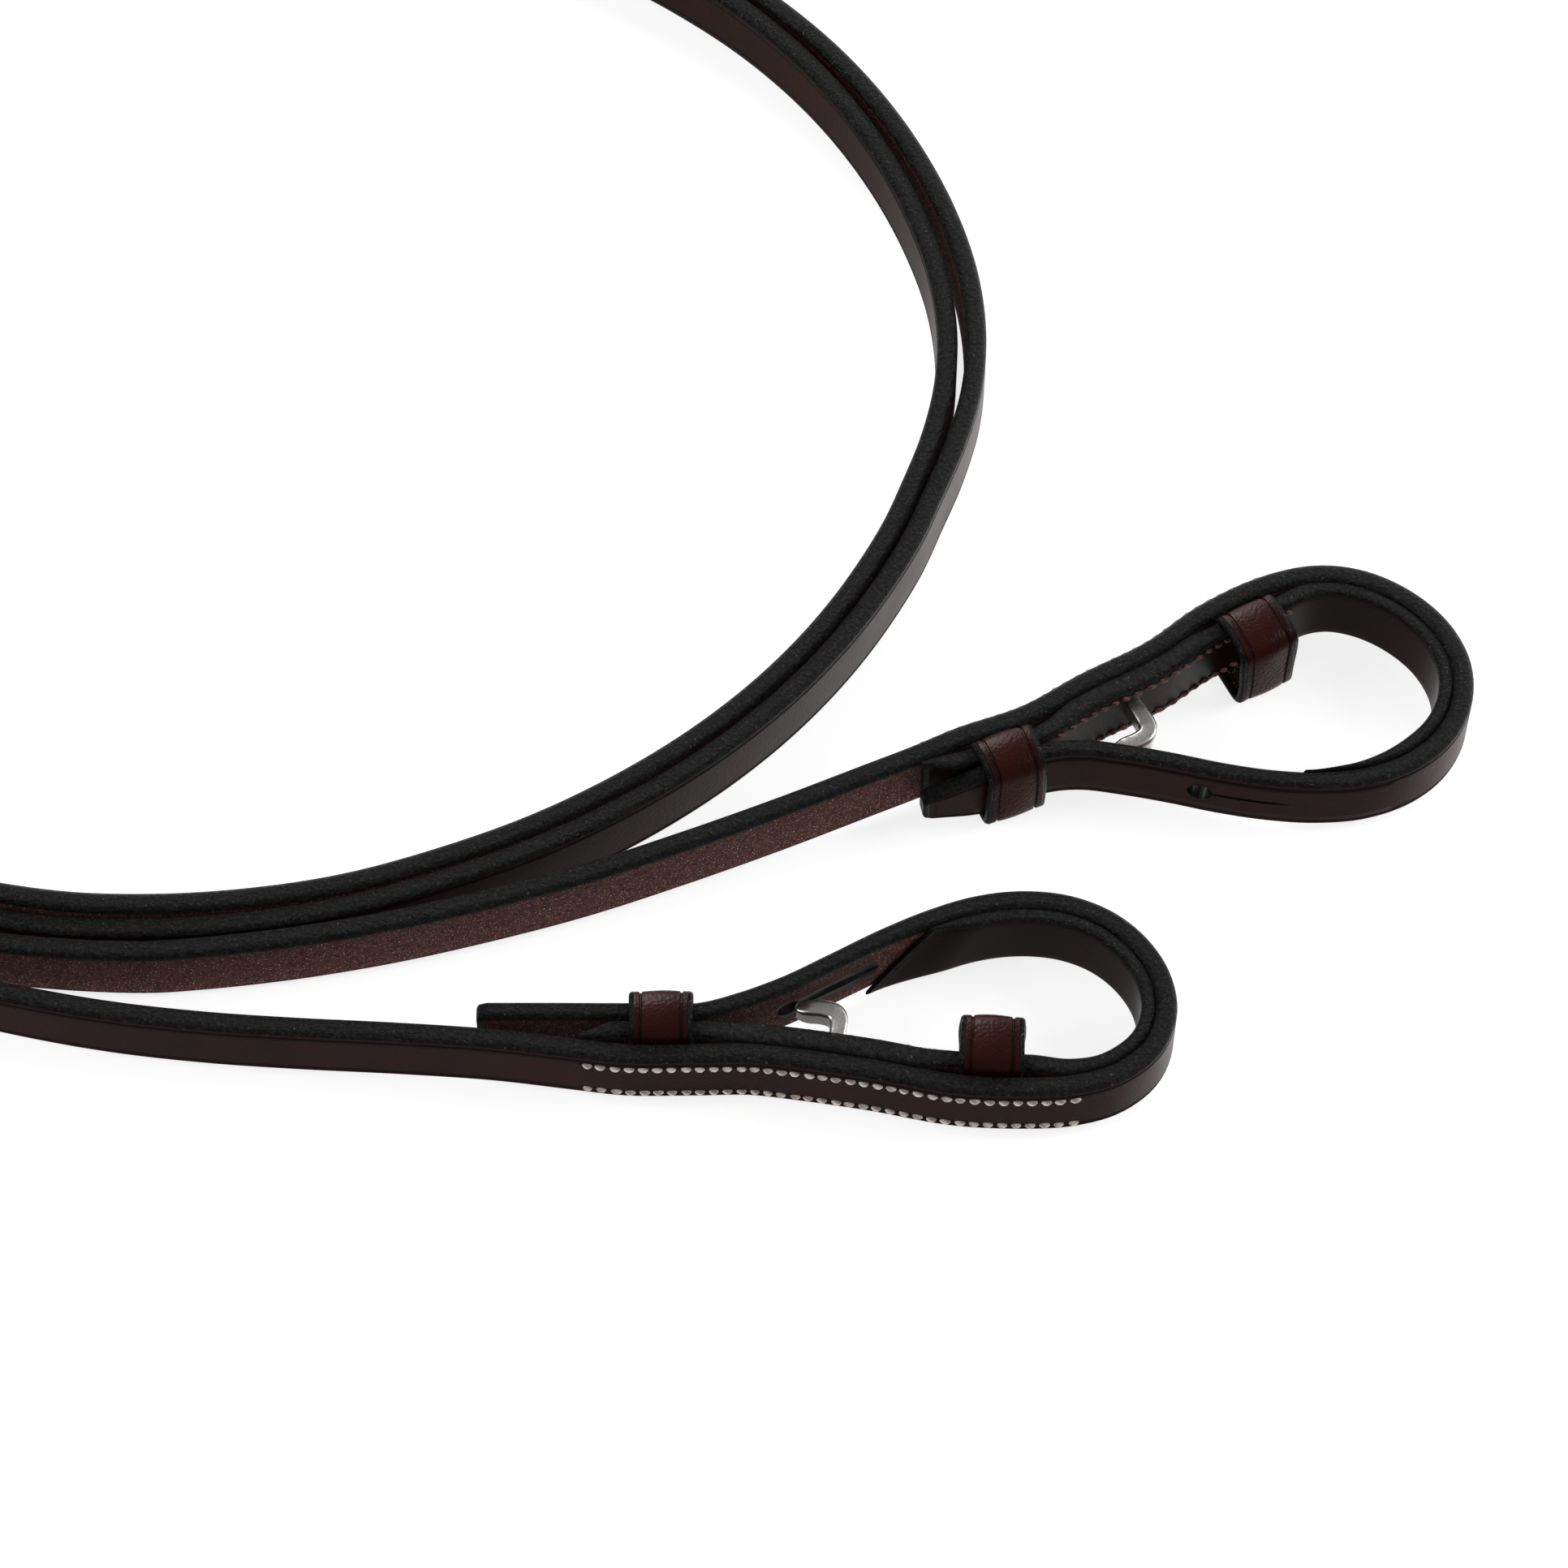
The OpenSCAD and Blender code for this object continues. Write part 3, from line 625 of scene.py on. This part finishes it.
def width_a(x):
    """Rein A's billet is cut to a narrow round tip."""
    tip = 0.5 + 0.5 * ease(x / (15 * MM))
    return tip * np.sqrt(np.clip(1 - (1 - np.clip(x / (2.5 * MM), 0, 1)) ** 2 * 0.6, 0, 1))


def width_b(x):
    """Rein B's billet is squared with round corners, and its hand end is cut to a point."""
    square = np.sqrt(np.clip(1 - (1 - np.clip(x / (2 * MM), 0, 1)) ** 2 * 0.35, 0, 1))
    from_tip = np.clip((line_b.length - x) / (15 * MM), 0, 1)
    return square * (1 - 0.6 * (1 - from_tip) ** 2)


rein_a = lay_rein(
    "rein_strap_a_leather", line_a, -1, lift_a, width_a,
    [(HOLE_RUN_A, KEYHOLE_D * 1.1)], [(HOLE_RUN_A, SLIT, 0.85 * MM)], "rein_strap_a",
)
rein_b = lay_rein(
    "rein_strap_b_leather", line_b, 1, lift_b, width_b,
    [(HOLE_RUN_B, KEYHOLE_D)] + [(line_b.length - (40 + 22 * k) * MM, 4 * MM) for k in range(5)],
    [(HOLE_RUN_B + 1 * MM, SLIT + 1 * MM, 2.6 * MM)], "rein_strap_b",
)


def middle_of(line, raise_by):
    runs = np.linspace(0, line.length, int(line.length / (4 * MM)))
    plan, up = line.point(runs), raise_by(runs) + STRAP_W / 2
    return [(float(x), float(y), float(z)) for (x, y), z in zip(plan, up)]


path_a, path_b = middle_of(line_a, lift_a), middle_of(line_b, lift_b)


# ---------------------------------------------------------------- linings
def gap_steps(line, keeper_knots):
    """How far the lining's outer and inner face stand from the middle of the strap."""
    loop, body = [(line.knots[i], line.knots[j]) for i, j in keeper_knots]

    def over(s, span, blend):
        return ease((s - span[0] + blend) / blend) * ease((span[1] + blend - s) / blend)

    def faces(s):
        at_keeper = np.maximum(over(s, loop, 9 * MM), over(s, body, 9 * MM))
        between = over(s, (loop[0], body[1]), 16 * MM)
        outer = STRAP_T / 2 - 0.04 * MM + at_keeper * (KEEPER_T - 0.5 * MM)
        inner = STRAP_T / 2 + CLEAR + LINING_T + between * (PLATE_T + CLEAR) + at_keeper * 0.5 * MM
        return outer, inner

    return faces


faces_a = gap_steps(line_a, [(19, 20), (23, 24)])
faces_b = gap_steps(line_b, [(19, 20), (24, 25)])


def lay_lining(name, line, side, raise_by, faces, start, end, slant, thin_over, thin_to, node):
    long = end - start
    bm = cut_strip(long, STRAP_W, LINING_T, 1.2 * MM, edge=0.95 * MM, dip=0, start=start)

    def trim(x, y, z):
        outer, inner = faces(x)
        skive = np.minimum(
            thin_to + (1 - thin_to) * ease((x - start) / thin_over), 0.4 + 0.6 * ease((end - x) / (6 * MM)),
        )
        thick = (inner - outer) * skive
        sunk = (1 - ease((x - start) / (9 * MM))) * 0.45 * MM * (thin_to < 0.2)
        across = outer + thick / 2 + y * thick / LINING_T - sunk
        near_start = np.clip(1 - (x - start) / (26 * MM), 0, 1)
        return x + slant * (z / STRAP_W - 0.5) * near_start, across, z

    shape(bm, trim)
    lay(bm, line, side, raise_by)
    return finish_piece(bm, name, lining_leather, "reins", [node])


lay_lining(
    "chape_lining_a_leather", line_a, 1, lift_a, faces_a, line_a.knots[9] - 5 * MM, line_a.knots[25],
    4 * MM, 30 * MM, 0.12,
    "chape_lining_a",
)
lay_lining(
    "chape_lining_b_leather", line_b, -1, lift_b, faces_b, line_b.knots[7] + 2.5 * MM, line_b.knots[26],
    15 * MM, 14 * MM, 0.35,
    "chape_lining_b",
)


# ---------------------------------------------------------------- keepers
def round_box_line(w, h, r, crown=0.0):
    """The middle line of a band: a box with round corners, clockwise from the middle of its left side,
    with crown bowing its top."""
    pts = [(0, h / 2)]
    for cx, cy, a0 in ((r, h - r, 180), (w - r, h - r, 90), (w - r, r, 0), (r, r, -90)):
        for k in range(5):
            a = math.radians(a0 - 90 * k / 4)
            pts.append((cx + r * math.cos(a), cy + r * math.sin(a)))
        if a0 == 180:
            pts += [(w * 0.35, h + crown * 0.9), (w * 0.65, h + crown * 0.9)]
        if a0 == 90:
            pts.append((w + crown * 0.6, h / 2))
    pts.append((0, h / 2 - 0.05))
    return Line(pts)


def keeper_band(
    name, f, depth, node, body="reins", length=KEEPER_LEN, height=KEEPER_H, base=0.0, seed=1, crown=0.25,
):
    """A keeper: a strip of thin leather bent round and butted on its hidden side."""
    d, h, t = mm(depth), mm(height), mm(KEEPER_T)
    line = round_box_line(d - t, h - t, 2.2, crown)
    bm = cut_strip(
        line.length - 0.1 * MM, length, KEEPER_T, 0.8 * MM, edge=0.75 * MM, crease=2.3 * MM, dip=0.28 * MM,
        face_rows=5
    )
    rnd = random.Random(seed)
    phase = [rnd.uniform(0, 6.3) for _ in range(4)]

    def settle(x, y, z):
        # the edges wander a little, and the middle panel swells between the creases
        wander = 0.16 * MM * np.sin(x / (5.2 * MM) + phase[0]) + 0.1 * MM * np.sin(x / (2.3 * MM) + phase[1])
        z = z + wander * (z / length * 2 - 1)
        panel = np.clip(1 - ((z - length / 2) / (length / 2 - 2.5 * MM)) ** 2, 0, 1)
        y = y + 0.22 * MM * panel + 0.05 * MM * np.sin(x / (3.1 * MM) + z / (2.2 * MM) + phase[2])
        return x, y, z

    shape(bm, settle)
    a = math.radians(f[2])
    along, out = Vector((math.cos(a), math.sin(a), 0)), Vector((-math.sin(a), math.cos(a), 0)) * f[3]
    origin = Vector((f[0] * MM, f[1] * MM, base)) + out * (depth / 2 - KEEPER_T / 2)
    up = Vector((0, 0, 1))

    def put(across, high, w):
        return origin - out * across + up * (high + KEEPER_T / 2) + along * (w - length / 2)

    wrap(bm, line, put)
    return finish_piece(bm, name, keeper_leather, body, [node])


keeper_band("body_keeper_a_band", BODY_A, BODY_DEPTH, "body_keeper_a", seed=3)
keeper_band("loop_keeper_a_band", LOOP_A, LOOP_DEPTH, "loop_keeper_a", seed=5)
keeper_band("body_keeper_b_band", BODY_B, BODY_DEPTH, "body_keeper_b", seed=7)
keeper_band("loop_keeper_b_band", LOOP_B, LOOP_DEPTH, "loop_keeper_b", seed=11)


# ---------------------------------------------------------------- stitching
def half_moon(bm, s, away, z, lean, long=2.1 * MM, tall=2.3 * MM, proud=0.7 * MM):
    """One stitch of thick thread, pulled flat along its upper side."""
    made = bmesh.ops.create_uvsphere(bm, u_segments=10, v_segments=7, radius=0.5)["verts"]
    for v in made:
        v.co.z = max(v.co.z, -0.5) if v.co.z < 0 else v.co.z * 0.35
    bmesh.ops.scale(bm, vec=(long, proud * 2, tall), verts=made)
    bmesh.ops.rotate(bm, cent=(0, 0, 0), matrix=Matrix.Rotation(lean, 3, "Y"), verts=made)
    bmesh.ops.translate(bm, vec=(s, away, z), verts=made)


def seam(
    name, line, side, raise_by, start, end, away, rows, material, node, lean, size=(2.1, 2.3, 0.7),
    seed=1, holes=True,
):
    """Rows of stitches on a face, each a little different, and dark patches between them that paint the
    shade in the awl holes.
    """
    rnd = random.Random(seed)
    stitches, hole_shade_patches = bmesh.new(), bmesh.new()
    count = int((end - start) / STITCH_PITCH) + 1
    for k in range(count):
        s = start + k * STITCH_PITCH
        off = float(away(np.array([s]))[0]) if callable(away) else away
        for z in rows:
            j = rnd.uniform(-0.12, 0.12) * MM
            half_moon(
                stitches, s + j, off, z + rnd.uniform(-0.08, 0.08) * MM, lean + rnd.uniform(-0.06, 0.06),
                size[0] * rnd.uniform(0.9, 1.04) * MM, size[1] * rnd.uniform(0.92, 1.08) * MM, size[2] * MM,
            )
            # a thin dark patch between stitches: painted shade of the awl hole
            if holes:
                half_moon(
                    hole_shade_patches, s + STITCH_PITCH / 2, off, z + 0.1 * MM, 0, 0.75 * MM, 0.9 * MM, 0.16 * MM,
                )
    lay(stitches, line, side, raise_by)
    finish_piece(stitches, name, material, "reins", [node])
    if holes:
        lay(hole_shade_patches, line, side, raise_by)
        finish_piece(hole_shade_patches, name + "_hole_shades", painted_hole_shade, "reins")
    else:
        hole_shade_patches.free()


# a stitch on the linings, in mm: its length, its height up the strap and how far it stands out
RUST_STITCH = (2.5, 1.9, 0.65)

rows = (STITCH_INSET, STRAP_W - STITCH_INSET)
rows_outer_b = (OUTER_INSET_B, STRAP_W - OUTER_INSET_B)
seam(
    "outer_stitching_a_thread", line_a, -1, lift_a, line_a.knots[19] - 2 * MM, line_a.knots[24] + 9 * MM,
    STRAP_T / 2, rows, cream_thread, "outer_stitching_a", 0.05, seed=2,
)
seam(
    "outer_stitching_b_thread", line_b, 1, lift_b, line_b.knots[19] - 9 * MM, line_b.knots[25] + 8 * MM,
    STRAP_T / 2, rows_outer_b, cream_thread, "outer_stitching_b", 0.05, seed=4,
)
seam(
    "inner_stitching_a_thread", line_a, 1, lift_a, line_a.knots[19] - 3 * MM, line_a.knots[23] - 3 * MM,
    lambda s: faces_a(s)[1], rows, rust_thread, "inner_stitching_a", -0.5, RUST_STITCH,
    seed=6,
)
seam(
    "inner_stitching_b_thread", line_b, -1, lift_b, line_b.knots[19] - 3 * MM, line_b.knots[24] - 3 * MM,
    lambda s: faces_b(s)[1], rows, rust_thread, "inner_stitching_b", -0.5, RUST_STITCH,
    seed=8,
)


# ---------------------------------------------------------------- hook studs
def bevel_all(bm, offset, segments=3, angle=0.5):
    """Rounds every edge that turns by more than angle."""
    sharp = [e for e in bm.edges if len(e.link_faces) == 2 and e.calc_face_angle(0) > angle]
    bmesh.ops.bevel(
        bm, geom=sharp, offset=offset, segments=segments, profile=0.5, affect="EDGES", material=-1,
    )


def plate_from(bm, outline, low, high):
    """A flat plate: the outline in x and y, raised from low to high."""
    face = bm.faces.new([bm.verts.new((x * MM, y * MM, low * MM)) for x, y in outline])
    top = bmesh.ops.extrude_face_region(bm, geom=[face])["geom"]
    bmesh.ops.translate(
        bm, vec=(0, 0, (high - low) * MM), verts=[g for g in top if isinstance(g, bmesh.types.BMVert)],
    )
    bmesh.ops.recalc_face_normals(bm, faces=bm.faces)


def arc(cx, cy, r, a0, a1, n):
    return [
        (
            cx + r * math.cos(math.radians(a0 + (a1 - a0) * k / n)),
            cy + r * math.sin(math.radians(a0 + (a1 - a0) * k / n)),
        )
        for k in range(n + 1)
    ]


# the hook's bar, and roughly how far its top stands over the lining in mm
HOOK_W = 4.9 * MM
HOOK_BAR = 3.4 * MM
HOOK_RISE = 8.7


def hook_stud(name, f, node):
    """Cast hook: a flat bar that rises from its plate and turns over into an arm with a blunt point."""
    top = mm(PLATE_T) / 2 + 0.6 + mm(LINING_T) + HOOK_RISE
    bend, tip = 2.6, -8.8
    pts = [(0, 0), (0, -2.5), (0.1, -5), (0.05, 1.5 + bend - top)]
    pts += arc(-bend, 1.5 + bend - top, bend, -8, -82, 6)
    pts += [(-bend - 1.6, 1.45 - top), (-bend - 3.6, 1.7 - top), (tip + 1.2, 1.75 - top), (tip, 1.5 - top)]
    line = Line(pts)
    bm = cut_strip(line.length, HOOK_W, HOOK_BAR, 0.35 * MM, edge=0.8 * MM, dip=0, face_rows=3)

    def cast(x, y, z):
        left = np.clip((line.length - x) / (4.2 * MM), 0, 1)
        point = 0.42 + 0.58 * np.sqrt(np.clip(1 - (1 - left) ** 2, 0, 1))
        swell = 1 + 0.12 * np.exp(-(((x - line.length * 0.55) / (2.6 * MM)) ** 2))
        return x, y * point * swell, HOOK_W / 2 + (z - HOOK_W / 2) * (0.72 + 0.28 * ease(left * 1.4))

    shape(bm, cast)
    a = math.radians(f[2])
    along, out = Vector((math.cos(a), math.sin(a), 0)), Vector((-math.sin(a), math.cos(a), 0)) * f[3]
    middle = Vector((f[0] * MM, f[1] * MM, LIFT + STRAP_W / 2))
    wrap(bm, line, lambda x, y, w: middle + along * x + out * y + Vector((0, 0, w - HOOK_W / 2)))
    finish_piece(bm, name + "_hook", steel, "reins", [node])
    base = bmesh.new()
    plate_from(base, [(-7, -0.6), (7, -0.6), (7, 0.6), (-7, 0.6)], -4.5, 4.5)
    bevel_all(base, 0.3 * MM, 2)
    turned = Matrix.Translation(middle) @ Matrix.Rotation(a, 4, "Z")
    bmesh.ops.transform(base, matrix=turned, verts=base.verts)
    finish_piece(base, name + "_plate", steel, "reins")


hook_stud("hook_stud_a", STUD_A, "hook_stud_a")
hook_stud("hook_stud_b", STUD_B, "hook_stud_b")

# ---------------------------------------------------------------- buckle end of rein A
end_a = line_a.point(np.array([line_a.length]))[0]
to_end = Matrix.Translation((end_a[0], end_a[1], 0)) @ Matrix.Rotation(END_TURN, 4, "Z")
CHAPE_GAP = STRAP_T / 2 + CLEAR
BAR_BORE = BAR_D / 2 + CLEAR
BAR_AT = CHAPE_GAP + CHAPE_T + BAR_BORE + 1 * MM
BUCKLE_W = STRAP_W + 2 * CLEAR + 2 * BAR_D


def at_end(x, y, z):
    return to_end @ Vector((x, y, z))


def buckle_chape():
    """A strip folded round the heel bar, with its two leaves sewn to the strap."""
    leaf = mm(CHAPE_GAP + CHAPE_T / 2)
    fold = mm(BAR_BORE + CHAPE_T / 2)
    bar = mm(BAR_AT)
    pts = [
        (-mm(CHAPE_LEN), leaf), (-24, leaf), (-14, leaf), (-5, leaf), (0, leaf - 0.1),
        (bar - 2.6, fold + 0.2),
    ]
    pts += arc(bar, 0, fold, 90, -90, 10)
    pts += [
        (bar - 2.6, -fold - 0.2), (0, 0.1 - leaf), (-5, -leaf), (-14, -leaf), (-24, -leaf),
        (-mm(CHAPE_LEN), -leaf),
    ]
    line = Line(pts)
    bm = cut_strip(line.length, STRAP_W, CHAPE_T, 0.8 * MM, edge=0.7 * MM, crease=1.6 * MM)

    def skive(x, y, z):
        thin = 0.45 + 0.55 * ease(np.minimum(x, line.length - x) / (5 * MM))
        return x, y * thin, z

    shape(bm, skive)
    wrap(bm, line, lambda a, b, w: at_end(a, b, BUCKLE_LIFT + w))
    piece = finish_piece(
        bm, "buckle_chape_leather", rein_leather, "reins", ["buckle_chape"],
    )
    slot = bmesh.new()
    made = bmesh.ops.create_cube(slot, size=1.0)["verts"]
    bmesh.ops.scale(slot, vec=(BAR_AT + 4 * MM, 12 * MM, 5 * MM), verts=made)
    bmesh.ops.translate(
        slot, vec=(0.6 * MM + (BAR_AT + 4 * MM) / 2, 0, BUCKLE_LIFT + STRAP_W / 2), verts=made,
    )
    bmesh.ops.transform(slot, matrix=to_end, verts=slot.verts)
    pierce(piece, slot)


buckle_chape()


def steel_piece(bm, name, body, nodes):
    bmesh.ops.transform(bm, matrix=to_end, verts=bm.verts)
    bmesh.ops.recalc_face_normals(bm, faces=bm.faces)
    return finish_piece(bm, name, steel, body, nodes)


def buckle_frame():
    """A flat-sided centre buckle, cast in one with its round heel bar."""
    bm = bmesh.new()
    long = mm(WINDOW + BAR_D)
    w, d = mm(BUCKLE_W), mm(BAR_D)
    outer = [(0, 0)] + arc(long - 4, 4, 4, -90, 0, 6) + arc(long - 4, w - 4, 4, 0, 90, 6) + [(0, w)]
    inner = [(0, d)] + arc(mm(WINDOW) - 1.5, d + 1.5, 1.5, -90, 0, 4) + arc(
        mm(WINDOW) - 1.5, w - d - 1.5, 1.5, 0, 90, 4,
    ) + [(0, w - d)]
    plate_from(bm, outer + inner[::-1], -d / 2, d / 2)
    bevel_all(bm, 0.8 * MM, 3, 0.9)
    bmesh.ops.rotate(bm, cent=(0, 0, 0), matrix=Matrix.Rotation(math.pi / 2, 3, "X"), verts=bm.verts)
    heel = bmesh.ops.create_cone(
        bm, cap_ends=True, segments=24, radius1=BAR_D / 2, radius2=BAR_D / 2, depth=BUCKLE_W,
        matrix=Matrix.Translation((0, 0, BUCKLE_W / 2)),
    )["verts"]
    rims = [e for e in bm.edges if e.verts[0] in heel and e.verts[1] in heel and e.calc_face_angle(0) > 1]
    bmesh.ops.bevel(bm, geom=rims, offset=0.5 * MM, segments=2, profile=0.5, affect="EDGES", material=-1)
    bmesh.ops.translate(bm, vec=(BAR_AT, 0, 0), verts=bm.verts)
    return steel_piece(bm, "buckle_frame_steel", "buckle", ["buckle_frame"])


buckle_frame()


def buckle_tongue():
    """The tongue: an eye rolled round the heel bar and a prong that tapers to its tip."""
    bm = bmesh.new()
    eye, over, t, w = mm(BAR_D) / 2 + 0.15, mm(BAR_D) / 2 + 0.3, 2.2, 3.4
    prong = mm(WINDOW + BAR_D) + 1.2
    outline = (
        arc(0, 0, eye + 1.4, 70, 350, 20)
        + [(eye + 1.3, over + 0.1)]
        + [(prong * 0.5, over), (prong - 1, over + 0.1)]
        + arc(prong, over + t / 2, t / 2 - 0.1, -80, 80, 5)
        + [(prong - 2, over + t), (eye + 0.6, over + t)]
    )
    plate_from(bm, outline, -w / 2, w / 2)
    bevel_all(bm, 0.55 * MM, 3, 0.6)
    bmesh.ops.translate(bm, vec=(BAR_AT, 0, BUCKLE_LIFT + STRAP_W / 2), verts=bm.verts)
    piece = steel_piece(bm, "buckle_tongue_steel", "tongue", ["buckle_tongue"])
    bore = bmesh.new()
    bmesh.ops.create_cone(
        bore, cap_ends=True, segments=24, radius1=eye * MM, radius2=eye * MM, depth=10 * MM,
    )
    bmesh.ops.translate(bore, vec=(BAR_AT, 0, BUCKLE_LIFT + STRAP_W / 2), verts=bore.verts)
    bmesh.ops.transform(bore, matrix=to_end, verts=bore.verts)
    pierce(piece, bore)


buckle_tongue()


def hand_band(name, start, length, inner, node, body, seed):
    """A keeper on the hand end, with room on its outer side for the other rein's point."""
    band_in = CHAPE_GAP + CHAPE_T + CLEAR
    depth = inner + STRAP_T + CLEAR + band_in + 2 * KEEPER_T
    height = STRAP_W + 2 * CLEAR + 2 * KEEPER_T
    middle = at_end(start + length / 2, depth / 2 - inner - KEEPER_T, 0)
    f = (mm(middle.x), mm(middle.y), math.degrees(END_TURN), -1)
    keeper_band(
        name, f, depth, node, body, length, height, BUCKLE_LIFT + STRAP_W / 2 - height / 2, seed, 0.1,
    )


hand_band("centre_keeper_band", -9 * MM, 7 * MM, CHAPE_GAP + CHAPE_T + CLEAR, "centre_keeper", "reins", 13)
hand_band("runner_keeper_band", -62 * MM, 10 * MM, STRAP_T / 2 + CLEAR, "runner_keeper", "runner", 17)


def chape_seam():
    """Stitches on both leaves of the buckle's chape."""
    rnd = random.Random(19)
    bm = bmesh.new()
    face = CHAPE_GAP + CHAPE_T
    for k in range(7):
        x = -CHAPE_LEN + 3 * MM + (k + 0.4) * STITCH_PITCH
        for z in rows:
            for side in (-1, 1):
                half_moon(bm, x + rnd.uniform(-0.1, 0.1) * MM, side * face, BUCKLE_LIFT + z, 0.05)
    bmesh.ops.transform(bm, matrix=to_end, verts=bm.verts)
    bmesh.ops.recalc_face_normals(bm, faces=bm.faces)
    finish_piece(
        bm, "chape_stitching_thread", cream_thread, "reins", ["chape_stitching"],
    )


chape_seam()


# ---------------------------------------------------------------- floor and light
def studio():
    """A white sweep that mirror reflections pass through, three softboxes and a graded world."""
    bm = bmesh.new()
    bmesh.ops.create_grid(bm, x_segments=1, y_segments=1, size=4)
    mesh = bpy.data.meshes.new("floor")
    bm.to_mesh(mesh)
    bm.free()
    floor = bpy.data.objects.new("floor", mesh)
    bpy.context.collection.objects.link(floor)
    m, tree, shader = new_material(
        "matt_white_paper", Roughness=0.95, Specular_IOR_Level=0.1, Emission_Strength=0.8,
    )
    shader.inputs["Base Color"].default_value = shade("#c4c4c4")
    shader.inputs["Emission Color"].default_value = (1, 1, 1, 1)
    mesh.materials.append(m)
    floor.visible_glossy = False
    world = bpy.data.worlds.new("studio")
    bpy.context.scene.world = world
    world.use_nodes = True
    world.node_tree.nodes["Background"].inputs[0].default_value = (1, 1, 1, 1)
    # the world is graded as if a long pale card stood behind the sweep, low and to the right
    tree = world.node_tree
    way = add(tree, "ShaderNodeTexCoord").outputs["Generated"]
    to_card = add(
        tree, "ShaderNodeVectorMath", {"operation": "DOT_PRODUCT"}, i0=way, i1=(0.5, 0.8, -0.4),
    ).outputs["Value"]
    glow = add(tree, "ShaderNodeMapRange", i0=to_card, i1=0.35, i2=0.78, i3=0.2, i4=1.5).outputs[0]
    tree.links.new(glow, tree.nodes["Background"].inputs[1])
    bpy.context.scene.view_settings.view_transform = "Standard"
    lights = (
        ("back_softbox", (-0.5, 1.6, 1.0), 0.9, 22),
        ("left_softbox", (-1.6, -0.2, 1.1), 0.8, 10),
        ("right_softbox", (1.6, 0.2, 1.1), 0.8, 12),
    )
    for name, place, size, power in lights:
        lamp = bpy.data.objects.new(name, bpy.data.lights.new(name, "AREA"))
        lamp.data.size, lamp.data.energy = size, power
        lamp.location = place
        lamp.rotation_euler = (Vector((0, 0.08, 0)) - Vector(place)).to_track_quat("-Z", "Y").to_euler()
        bpy.context.collection.objects.link(lamp)


studio()
